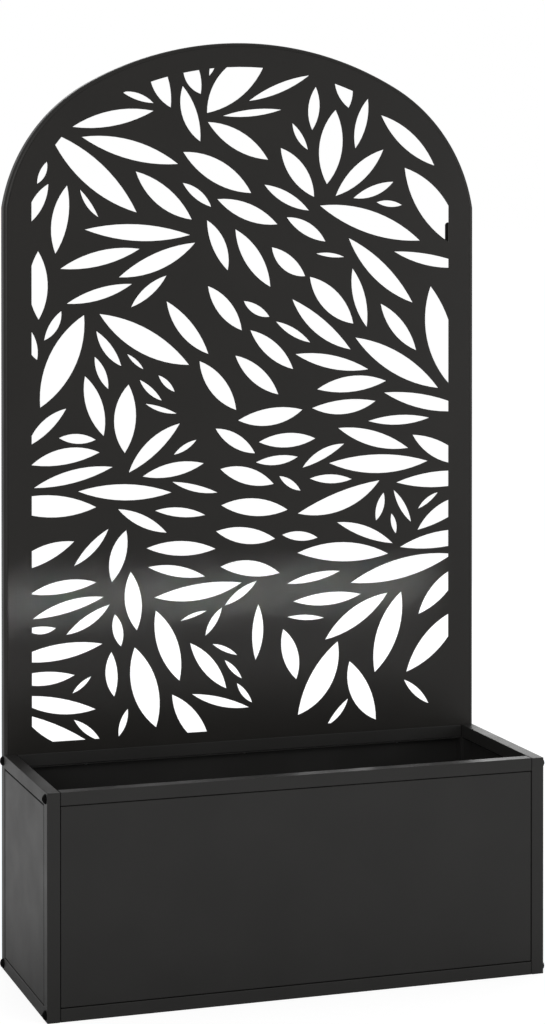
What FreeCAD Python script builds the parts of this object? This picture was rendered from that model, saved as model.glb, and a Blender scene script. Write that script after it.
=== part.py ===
import FreeCAD, Part

import math
import os
import re

# Planter box on a square tube frame, with a tall arched screen behind it that has leaves cut through it.
# Row frame: X along the width, Y from the front towards the back, Z up, origin under the middle of the base.

doc = FreeCAD.newDocument("PlanterWithScreen")
sheet = doc.addObject("Spreadsheet::Sheet", "Sizes")

SIZES = [
    ("width", 800, "outside width over the end frames"),
    ("depth", 300, "outside depth of the box"),
    ("box_height", 340, "height of the box"),
    ("full_height", 1470, "height of the crown of the arch"),
    ("tube", 20, "side of the square tube"),
    ("tube_wall", 1.5, "wall of the square tube"),
    ("tube_round", 1, "outside corner radius of the tube"),
    ("panel_sheet", 1.2, "sheet of the folded panels"),
    ("panel_fold", 1.5, "outside radius of a panel's folds"),
    ("panel_gap", 1, "gap between a panel and the tube beside it"),
    ("panel_recess", 0.6, "how far a panel's face lies behind the tube's face"),
    ("panel_return", 18, "depth of a panel's folded returns"),
    ("bolt_head_radius", 7.5, "domed head of a corner bolt"),
    ("bolt_head_high", 5.2, "height of that head"),
    ("bolt_radius", 4, "shank of a corner bolt"),
    ("bolt_long", 40, "shank length of a corner bolt"),
    ("bolt_clear_radius", 4.3, "clearance hole for a corner bolt"),
    ("bolt_socket_radius", 2.9, "corner radius of the six-sided socket"),
    ("bolt_socket_deep", 2.8, "depth of the socket"),
    ("plug_side", 16.6, "side of a threaded plug in a rail's end"),
    ("plug_long", 25, "length of a plug"),
    ("screw_head_radius", 3.6, "head of a panel screw"),
    ("screw_head_top_radius", 2, "flat top of that head"),
    ("screw_head_high", 1.9, "height of that head"),
    ("screw_radius", 2, "shank of a panel screw"),
    ("screw_long", 7, "shank length of a panel screw"),
    ("screw_clear_radius", 2.2, "clearance hole for a panel screw"),
    ("screw_inset", 12, "distance of a panel screw from the panel's face"),
    ("bar_width", 30, "width of a floor bar"),
    ("bar_high", 16, "height of a floor bar"),
    ("bar_wall", 2, "wall of a floor bar"),
    ("bar_lift", 2, "underside of a floor bar above the ground"),
    ("bar_spread_share", 0.3375, "distance of the outer floor bars from the middle, share of the width"),
    ("bar_screw_spread", 8, "distance of a bar's screws from its middle line"),
    ("bar_screw_high", 9, "height of a bar's screws above the ground"),
    ("tray_sheet", 1.5, "sheet of the floor tray"),
    ("tray_edge_high", 25, "height of the tray's upturned edge"),
    ("tray_gap", 1, "gap around the tray"),
    ("drain_radius", 5, "drain hole in the tray"),
    ("drain_spacing_share", 0.155, "spacing of the drain holes along the tray, share of the width"),
    ("drain_row_share", 0.27, "distance of the drain rows from the middle line, share of the depth"),
    ("screen_depth", 20, "depth of the screen's rim"),
    ("screen_wall", 1.5, "sheet of the screen"),
    ("screen_nose", 6, "outside radius of the rim's front edge"),
    ("screen_seam", 0.3, "seam between the rim and the leaf sheet"),
    ("haunch_radius_share", 0.347, "radius of the arch over the shoulders, share of the width"),
    ("haunch_centre_share", 0.15725, "middle of that radius from the middle line, share of the width"),
    ("arch_rise_share", 0.388375, "crown above the middle of that radius, share of the width"),
    ("drawn_width", 800, "width at which the leaves were drawn"),
    ("drawn_height", 1130, "height of the screen at which they were drawn"),
    ("window_side", 44.5, "plain border beside the pattern"),
    ("window_arch", 39, "plain border under the arch"),
    ("window_foot", 17, "plain border above the box"),
    ("foot_up", 12, "upright leg of the foot angle"),
    ("foot_sheet", 2, "sheet of the foot angle"),
    ("foot_reach", 17, "depth of the foot angle"),
    ("foot_bolt_radius", 3, "shank of a foot bolt"),
    ("foot_bolt_long", 14, "shank length of a foot bolt"),
    ("foot_bolt_clear_radius", 3.3, "clearance hole for a foot bolt"),
    ("foot_bolt_head_radius", 5.77, "corner radius of the six-sided head and nut"),
    ("foot_bolt_head_high", 4, "height of the head"),
    ("foot_bolt_inner_share", 0.1625, "first foot bolt from the middle line, share of the width"),
    ("foot_bolt_outer_share", 0.4125, "second foot bolt from the middle line, share of the width"),
    ("foot_bolt_back", 7.5, "distance of the foot bolts from the back"),
    ("washer_radius", 6, "outside of a washer"),
    ("washer_sheet", 1.6, "thickness of a washer"),
    ("nut_high", 5, "height of a nut"),
    ("bracket_sheet", 2, "sheet of a wall bracket"),
    ("bracket_high", 40, "height of a wall bracket"),
    ("bracket_drop", 20.3, "underside of a wall bracket below the middle of the shoulders' radius"),
    ("bracket_reach", 41.5, "how far a wall bracket reaches inwards"),
    ("bracket_leg", 11, "depth of the leg welded to the rim"),
    ("bracket_round", 5, "rounded corners of a wall bracket"),
    ("bracket_hole_radius", 4.5, "hole for a wall screw"),
    ("bracket_hole_in", 26, "hole from the rim's inner face"),
]
for line, (alias, value, note) in enumerate(SIZES, start=1):
    sheet.set(f"A{line}", alias)
    sheet.set(f"B{line}", str(value))
    sheet.set(f"C{line}", note)
    sheet.setAlias(f"B{line}", alias)
doc.recompute()


def size(alias):
    """The number that the sheet holds under an alias."""
    return float(sheet.get(alias))


def bind(thing, **expressions):
    """Binds properties of an object to the sheet, each by an expression in which a bare word is an alias."""
    for prop, text in expressions.items():
        for alias, value, note in SIZES:
            text = re.sub(rf"\b{alias}\b", f"Sizes.{alias}", text)
        thing.setExpression(prop.replace("__", "."), text)
    return thing


def place(thing, x="0", y="0", z="0", turn=None):
    """Puts an object at a bound place, turned so that its own +Z looks along turn."""
    if turn is not None:
        rotation = FreeCAD.Rotation(FreeCAD.Vector(0, 0, 1), FreeCAD.Vector(*turn))
        thing.Placement = FreeCAD.Placement(FreeCAD.Vector(0, 0, 0), rotation)
    return bind(thing, Placement__Base__x=x, Placement__Base__y=y, Placement__Base__z=z)


def box(name, length, width, height, x, y, z):
    """A block given by its sizes and by its lowest corner."""
    thing = doc.addObject("Part::Box", name)
    bind(thing, Length=length, Width=width, Height=height)
    return place(thing, x, y, z)


def rod(name, radius, length, x, y, z, turn=(0, 0, 1)):
    """A round rod that starts at a point and runs along turn."""
    thing = doc.addObject("Part::Cylinder", name)
    bind(thing, Radius=radius, Height=length)
    return place(thing, x, y, z, turn)


def hexagon(name, radius, length, z="0"):
    """A six-sided prism along +Z."""
    thing = doc.addObject("Part::Prism", name)
    thing.Polygon = 6
    bind(thing, Circumradius=radius, Height=length)
    return place(thing, "0", "0", z)


def joined(name, things):
    """All things in one fused shape."""
    thing = doc.addObject("Part::MultiFuse", name)
    thing.Shapes = things
    return thing


def cut(name, base, tools):
    """The base without the tools."""
    thing = doc.addObject("Part::Cut", name)
    thing.Base = base
    thing.Tool = tools[0] if len(tools) == 1 else joined(name + "Tools", tools)
    return thing


def rounded(name, base, radius, chosen):
    """The base with its chosen edges rounded by a size of the sheet."""
    doc.recompute()
    picked = [n for n, edge in enumerate(base.Shape.Edges, start=1) if chosen(edge)]
    thing = doc.addObject("Part::Fillet", name)
    thing.Base = base
    thing.Edges = [(n, size(radius), size(radius)) for n in picked]
    return thing


def group(name, things):
    """Separate equal pieces that share one node."""
    thing = doc.addObject("Part::Compound", name)
    thing.Links = things
    return thing


subparts = []


def finish(thing, label):
    """Names an object as a sub-part."""
    thing.Label = label
    subparts.append(thing)
    return thing


def along(edge, axis):
    """True for a straight edge that runs along one axis."""
    step = edge.Vertexes[-1].Point - edge.Vertexes[0].Point
    return abs(abs(step[axis]) - step.Length) < edge.Length / size("width")


def near(edge, axis, value):
    """True for an edge whose middle lies at a value on one axis."""
    return abs(edge.CenterOfMass[axis] - value) < size("panel_gap") / 2


# Places of the screws.
# Panel screws along the width are shares of half of the rail, those up the posts shares of the box's height.
rail_screw_shares = (-0.7, 0, 0.7)
post_screw_shares = (0.3, 0.7)
drain_row_steps = (-2.5, -1.5, -0.5, 0.5, 1.5, 2.5)

half_rail = "( width / 2 - tube )"
inner_depth = "( depth / 2 - tube )"


def end_frame(label, side):
    """A welded ring of square tube that closes one end: two posts with a tube between them at top and foot."""
    name = label.title().replace("_", "")
    low = "width / 2 - tube" if side > 0 else "0 - width / 2"
    outer = box(name + "Outer", "tube", "depth", "box_height", low, "0 - depth / 2", "0")
    opening = box(
        name + "Opening",
        "tube * 2",
        "depth - 2 * tube",
        "box_height - 2 * tube",
        f"{low} - tube / 2",
        "tube - depth / 2",
        "tube",
    )
    ring = cut(name + "Ring", outer, [opening])
    soft = rounded(name + "Soft", ring, "tube_round", lambda edge: edge.Length > size("tube") * 2)
    cavity = box(
        name + "Cavity",
        "tube - 2 * tube_wall",
        "depth - 2 * tube_wall",
        "box_height - 2 * tube_wall",
        f"{low} + tube_wall",
        "tube_wall - depth / 2",
        "tube_wall",
    )
    core = box(
        name + "Core",
        "tube * 2",
        "depth - 2 * tube + 2 * tube_wall",
        "box_height - 2 * tube + 2 * tube_wall",
        f"{low} - tube / 2",
        "tube - tube_wall - depth / 2",
        "tube - tube_wall",
    )
    tools = [cut(name + "Hollow", cavity, [core])]
    for n, (y_side, z) in enumerate(((-1, 0), (1, 0), (-1, 1), (1, 1))):
        height = "tube / 2" if z == 0 else "box_height - tube / 2"
        tools.append(
            rod(
                f"{name}Bolt{n}",
                "bolt_clear_radius",
                "tube * 2",
                f"{low} - tube / 2",
                f"{y_side} * ( depth / 2 - tube / 2 )",
                height,
                (1, 0, 0),
            )
        )
    inward = "width / 2 - tube / 2" if side > 0 else "tube / 2 - width / 2"
    for n, y_side in enumerate((-1, 1)):
        for k, share in enumerate(post_screw_shares):
            tools.append(
                rod(
                    f"{name}Post{n}{k}",
                    "screw_radius",
                    "tube / 2",
                    inward,
                    f"{y_side} * ( depth / 2 - panel_recess - screw_inset )",
                    f"box_height * {share}",
                    (-side, 0, 0),
                )
            )
    x = f"{side} * ( width / 2 - panel_recess - screw_inset )"
    for n, turn in enumerate((-1, 1)):
        tools.append(
            rod(
                f"{name}Side{n}",
                "screw_radius",
                "tube / 2",
                x,
                f"{turn} * ( depth / 2 - tube - tube_wall * 2 )",
                "box_height / 2",
                (0, turn, 0),
            )
        )
    tools.append(
        rod(f"{name}Low", "screw_radius", "tube / 2", x, "0", "tube + tube_wall", (0, 0, -1))
    )
    tools.append(
        rod(
            f"{name}High",
            "screw_radius",
            "tube / 2",
            x,
            "0",
            "box_height - tube - tube_wall",
            (0, 0, 1),
        )
    )
    return finish(cut(name, soft, tools), label)


end_frame("left_end_frame", -1)
end_frame("right_end_frame", 1)


def rail(label, side, high):
    """A long rail of square tube that butts between the end frames, with the holes for its screws."""
    name = label.title().replace("_", "")
    y_low = "0 - depth / 2" if side < 0 else "depth / 2 - tube"
    z_low = "box_height - tube" if high else "0"
    outer = box(name + "Outer", "width - 2 * tube", "tube", "tube", f"0 - {half_rail}", y_low, z_low)
    soft = rounded(name + "Soft", outer, "tube_round", lambda edge: True)
    tools = [
        box(
            name + "Inner",
            "width",
            "tube - 2 * tube_wall",
            "tube - 2 * tube_wall",
            "0 - width / 2",
            f"{y_low} + tube_wall",
            f"{z_low} + tube_wall",
        )
    ]
    for n, share in enumerate(rail_screw_shares):
        start = "box_height - tube - tube_wall" if high else "tube + tube_wall"
        tools.append(
            rod(
                f"{name}Screw{n}",
                "screw_radius",
                "tube / 2",
                f"{share} * {half_rail}",
                f"{side} * ( depth / 2 - panel_recess - screw_inset )",
                start,
                (0, 0, 1 if high else -1),
            )
        )
    if high and side > 0:
        for n, x in enumerate(foot_bolt_places):
            tools.append(
                rod(
                    f"{name}Foot{n}",
                    "foot_bolt_clear_radius",
                    "tube / 2",
                    x,
                    "depth / 2 - foot_bolt_back",
                    "box_height - tube / 2",
                )
            )
    if not high:
        for n, centre in enumerate(bar_places):
            for k, step in enumerate((-1, 1)):
                tools.append(
                    rod(
                        f"{name}Bar{n}{k}",
                        "screw_radius",
                        "tube / 2",
                        f"{centre} + {step} * bar_screw_spread",
                        f"{side} * ( depth / 2 - tube - tube_wall )",
                        "bar_screw_high",
                        (0, side, 0),
                    )
                )
    return finish(cut(name, soft, tools), label)


foot_bolt_places = (
    "0 - foot_bolt_outer_share * width",
    "0 - foot_bolt_inner_share * width",
    "foot_bolt_inner_share * width",
    "foot_bolt_outer_share * width",
)
bar_places = ("0 - bar_spread_share * width", "0", "bar_spread_share * width")
rail("front_top_rail", -1, True)
rail("front_bottom_rail", -1, False)
rail("back_top_rail", 1, True)
rail("back_bottom_rail", 1, False)

# Threaded plugs in the rails' ends, and the domed bolts that pull the end frames against the rails.
plugs = []
bolts = []
corners = [(x, y, z) for x in (-1, 1) for y in (-1, 1) for z in (0, 1)]
for n, (x_side, y_side, high) in enumerate(corners):
    y_mid = f"{y_side} * ( depth / 2 - tube / 2 )"
    z_mid = "box_height - tube / 2" if high else "tube / 2"
    block = box(
        f"PlugBlock{n}",
        "plug_side",
        "plug_side",
        "plug_long",
        "0 - plug_side / 2",
        "0 - plug_side / 2",
        "0",
    )
    thread = rod(f"PlugThread{n}", "bolt_radius", "plug_long * 2", "0", "0", "0 - plug_long / 2")
    plug = cut(f"Plug{n}", block, [thread])
    plugs.append(place(plug, f"{x_side} * {half_rail}", y_mid, z_mid, (-x_side, 0, 0)))
    dome_radius = "( bolt_head_radius ^ 2 + bolt_head_high ^ 2 ) / ( 2 * bolt_head_high )"
    dome = doc.addObject("Part::Sphere", f"BoltDome{n}")
    lift = f"( {dome_radius} - bolt_head_high )"
    bind(dome, Radius=dome_radius, Angle1=f"asin({lift} / ( {dome_radius} ))")
    place(dome, "0", "0", f"0 - {lift}")
    shank = rod(f"BoltShank{n}", "bolt_radius", "bolt_long", "0", "0", "0 - bolt_long")
    socket = hexagon(
        f"BoltSocket{n}",
        "bolt_socket_radius",
        "bolt_head_high",
        "bolt_head_high - bolt_socket_deep",
    )
    bolt = cut(f"Bolt{n}", joined(f"BoltBody{n}", [dome, shank]), [socket])
    bolts.append(place(bolt, f"{x_side} * width / 2", y_mid, z_mid, (x_side, 0, 0)))
finish(group("RailEndPlugs", plugs), "rail_end_plugs")
finish(group("CornerBolts", bolts), "corner_bolts")


def screw(name, x, y, z, turn):
    """A panel screw at the sheet it holds: its coned head looks along turn and its shank goes the other way."""
    head = doc.addObject("Part::Cone", name + "Head")
    bind(head, Radius1="screw_head_radius", Radius2="screw_head_top_radius", Height="screw_head_high")
    shank = rod(name + "Shank", "screw_radius", "screw_long", "0", "0", "0 - screw_long")
    return place(joined(name, [head, shank]), x, y, z, turn)


def front_or_back_panel(label, side):
    """A folded panel between the rails and the posts, open towards the inside, with its screws."""
    name = label.title().replace("_", "")
    half_long = "( width / 2 - tube - panel_gap )"
    low = "tube + panel_gap"
    tall = "box_height - 2 * tube - 2 * panel_gap"
    y_low = "panel_recess - depth / 2" if side < 0 else "depth / 2 - panel_recess - panel_return"
    y_face = side * (size("depth") / 2 - size("panel_recess"))
    outer = box(
        name + "Outer",
        f"2 * {half_long}",
        "panel_return",
        tall,
        f"0 - {half_long}",
        y_low,
        low,
    )
    soft = rounded(
        name + "Soft", outer, "panel_fold", lambda edge: along(edge, 1) or near(edge, 1, y_face)
    )
    inner_low = f"{y_low} + panel_sheet" if side < 0 else f"{y_low} - panel_sheet"
    tools = [
        box(
            name + "Inner",
            f"2 * ( {half_long} - panel_sheet )",
            "panel_return",
            f"{tall} - 2 * panel_sheet",
            f"panel_sheet - {half_long}",
            inner_low,
            f"{low} + panel_sheet",
        )
    ]
    screws = []
    y_mid = f"{side} * ( depth / 2 - panel_recess - screw_inset )"
    for n, share in enumerate(rail_screw_shares):
        x = f"{share} * {half_rail}"
        high = "box_height - tube - panel_gap - panel_sheet"
        deep = "tube + panel_gap + panel_sheet"
        tools.append(rod(f"{name}Up{n}", "screw_clear_radius", "tube_wall * 2", x, y_mid, high))
        tools.append(
            rod(f"{name}Down{n}", "screw_clear_radius", "tube_wall * 2", x, y_mid, deep, (0, 0, -1))
        )
        screws.append(screw(f"{name}ScrewUp{n}", x, y_mid, high, (0, 0, -1)))
        screws.append(screw(f"{name}ScrewDown{n}", x, y_mid, deep, (0, 0, 1)))
    for n, turn in enumerate((-1, 1)):
        for k, share in enumerate(post_screw_shares):
            x = f"{turn} * ( {half_long} - panel_sheet )"
            z = f"box_height * {share}"
            tools.append(
                rod(
                    f"{name}Side{n}{k}",
                    "screw_clear_radius",
                    "tube_wall * 2",
                    x,
                    y_mid,
                    z,
                    (turn, 0, 0),
                )
            )
            screws.append(screw(f"{name}ScrewSide{n}{k}", x, y_mid, z, (-turn, 0, 0)))
    finish(cut(name, soft, tools), label)
    finish(group(name + "Screws", screws), label + "_screws")


front_or_back_panel("front_panel", -1)
front_or_back_panel("back_panel", 1)


def end_panel(label, side):
    """A folded panel in the opening of an end frame, open towards the inside, and its screws."""
    name = label.title().replace("_", "")
    half_wide = f"( {inner_depth} - panel_gap )"
    low = "tube + panel_gap"
    tall = "box_height - 2 * tube - 2 * panel_gap"
    x_low = "panel_recess - width / 2" if side < 0 else "width / 2 - panel_recess - panel_return"
    x_face = side * (size("width") / 2 - size("panel_recess"))
    outer = box(
        name + "Outer",
        "panel_return",
        f"2 * {half_wide}",
        tall,
        x_low,
        f"0 - {half_wide}",
        low,
    )
    soft = rounded(
        name + "Soft", outer, "panel_fold", lambda edge: along(edge, 0) or near(edge, 0, x_face)
    )
    inner_low = f"{x_low} + panel_sheet" if side < 0 else f"{x_low} - panel_sheet"
    tools = [
        box(
            name + "Inner",
            "panel_return",
            f"2 * ( {half_wide} - panel_sheet )",
            f"{tall} - 2 * panel_sheet",
            inner_low,
            f"panel_sheet - {half_wide}",
            f"{low} + panel_sheet",
        )
    ]
    x_mid = f"{side} * ( width / 2 - panel_recess - screw_inset )"
    holds = [
        ("Up", "0", "box_height - tube - panel_gap - panel_sheet", (0, 0, 1)),
        ("Down", "0", "tube + panel_gap + panel_sheet", (0, 0, -1)),
        ("Front", f"0 - ( {half_wide} - panel_sheet )", "box_height / 2", (0, -1, 0)),
        ("Back", f"{half_wide} - panel_sheet", "box_height / 2", (0, 1, 0)),
    ]
    screws = []
    for word, y, z, turn in holds:
        hole = rod(name + word, "screw_clear_radius", "tube_wall * 2", x_mid, y, z, turn)
        tools.append(hole)
        back = tuple(-part for part in turn)
        screws.append(screw(f"{name}Screw{word}", x_mid, y, z, back))
    finish(cut(name, soft, tools), label)
    return screws


end_screws = end_panel("left_end_panel", -1) + end_panel("right_end_panel", 1)
finish(group("EndPanelScrews", end_screws), "end_panel_screws")

# Floor: three folded bars between the bottom rails, and a tray with an upturned edge that rests on them.
bar_screws = []
for word, centre in zip(("left", "middle", "right"), bar_places):
    name = "FloorBar" + word.title()
    outer = box(
        name + "Outer",
        "bar_width",
        "depth - 2 * tube",
        "bar_high",
        f"{centre} - bar_width / 2",
        "tube - depth / 2",
        "bar_lift",
    )
    tools = [
        box(
            name + "Inner",
            "bar_width - 2 * bar_wall",
            "depth - 2 * tube - 2 * bar_wall",
            "bar_high",
            f"{centre} - bar_width / 2 + bar_wall",
            "tube + bar_wall - depth / 2",
            "bar_lift - bar_wall",
        )
    ]
    for n, side in enumerate((-1, 1)):
        for k, step in enumerate((-1, 1)):
            x = f"{centre} + {step} * bar_screw_spread"
            y = f"{side} * ( {inner_depth} - bar_wall )"
            hole = rod(
                f"{name}Hole{n}{k}",
                "screw_clear_radius",
                "bar_wall * 2",
                x,
                y,
                "bar_screw_high",
                (0, side, 0),
            )
            tools.append(hole)
            bar_screws.append(
                screw(f"{name}Screw{n}{k}", x, y, "bar_screw_high", (0, -side, 0))
            )
    finish(cut(name, outer, tools), "floor_bar_" + word)
finish(group("FloorBarScrews", bar_screws), "floor_bar_screws")

tray_half_x = "( width / 2 - tube - tray_gap )"
tray_half_y = "( depth / 2 - tube - tray_gap )"
tray_low = "bar_lift + bar_high"
tray_outer = box(
    "TrayOuter",
    f"2 * {tray_half_x}",
    f"2 * {tray_half_y}",
    "tray_edge_high",
    f"0 - {tray_half_x}",
    f"0 - {tray_half_y}",
    tray_low,
)
tray_tools = [
    box(
        "TrayInner",
        f"2 * ( {tray_half_x} - tray_sheet )",
        f"2 * ( {tray_half_y} - tray_sheet )",
        "tray_edge_high",
        f"tray_sheet - {tray_half_x}",
        f"tray_sheet - {tray_half_y}",
        f"{tray_low} + tray_sheet",
    )
]
for n, step in enumerate(drain_row_steps):
    for k, side in enumerate((-1, 1)):
        tray_tools.append(
            rod(
                f"Drain{n}{k}",
                "drain_radius",
                "bar_high",
                f"{step} * drain_spacing_share * width",
                f"{side} * drain_row_share * depth",
                f"{tray_low} - bar_high / 2",
            )
        )
finish(cut("FloorTray", tray_outer, tray_tools), "floor_tray")

# The arched screen. All its outlines share the same middles, so an inset outline runs beside the outer one.
half_width = size("width") / 2
foot_z = size("box_height")
face_y = size("depth") / 2 - size("screen_depth")
haunch_x = size("haunch_centre_share") * size("width")
haunch_radius = size("haunch_radius_share") * size("width")
rise = size("arch_rise_share") * size("width")
haunch_z = size("full_height") - rise
crown_radius = (haunch_x**2 + rise**2 - haunch_radius**2) / (2 * (rise - haunch_radius))
crown_z = size("full_height") - crown_radius
meet_angle = math.atan2(haunch_z - crown_z, haunch_x)


def point(x, z, y=0):
    """A point of the screen, y counted from its face towards the back."""
    return FreeCAD.Vector(x, face_y + y, z)


def spring(side_inset, arch_inset):
    """Height where an inset upright line meets the inset arc over the shoulder."""
    reach = half_width - side_inset - haunch_x
    return haunch_z + math.sqrt((haunch_radius - arch_inset) ** 2 - reach**2)


def outline(side_inset, arch_inset, foot):
    """Face inside the arch's outline: uprights, an arc over each shoulder and the crown's wide arc."""
    x = half_width - side_inset
    z = spring(side_inset, arch_inset)
    radius = haunch_radius - arch_inset
    start = math.asin((z - haunch_z) / radius)
    middle = (start + meet_angle) / 2
    right = point(x, z)
    right_mid = point(haunch_x + radius * math.cos(middle), haunch_z + radius * math.sin(middle))
    right_top = point(
        haunch_x + radius * math.cos(meet_angle), haunch_z + radius * math.sin(meet_angle)
    )

    def mirror(at):
        return FreeCAD.Vector(-at.x, at.y, at.z)

    crown = point(0, size("full_height") - arch_inset)
    edges = [
        Part.makeLine(point(-x, foot_z + foot), point(x, foot_z + foot)),
        Part.makeLine(point(x, foot_z + foot), right),
        Part.Arc(right, right_mid, right_top).toShape(),
        Part.Arc(right_top, crown, mirror(right_top)).toShape(),
        Part.Arc(mirror(right_top), mirror(right_mid), mirror(right)).toShape(),
        Part.makeLine(mirror(right), point(-x, foot_z + foot)),
    ]
    return Part.Face(Part.Wire(edges))


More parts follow.
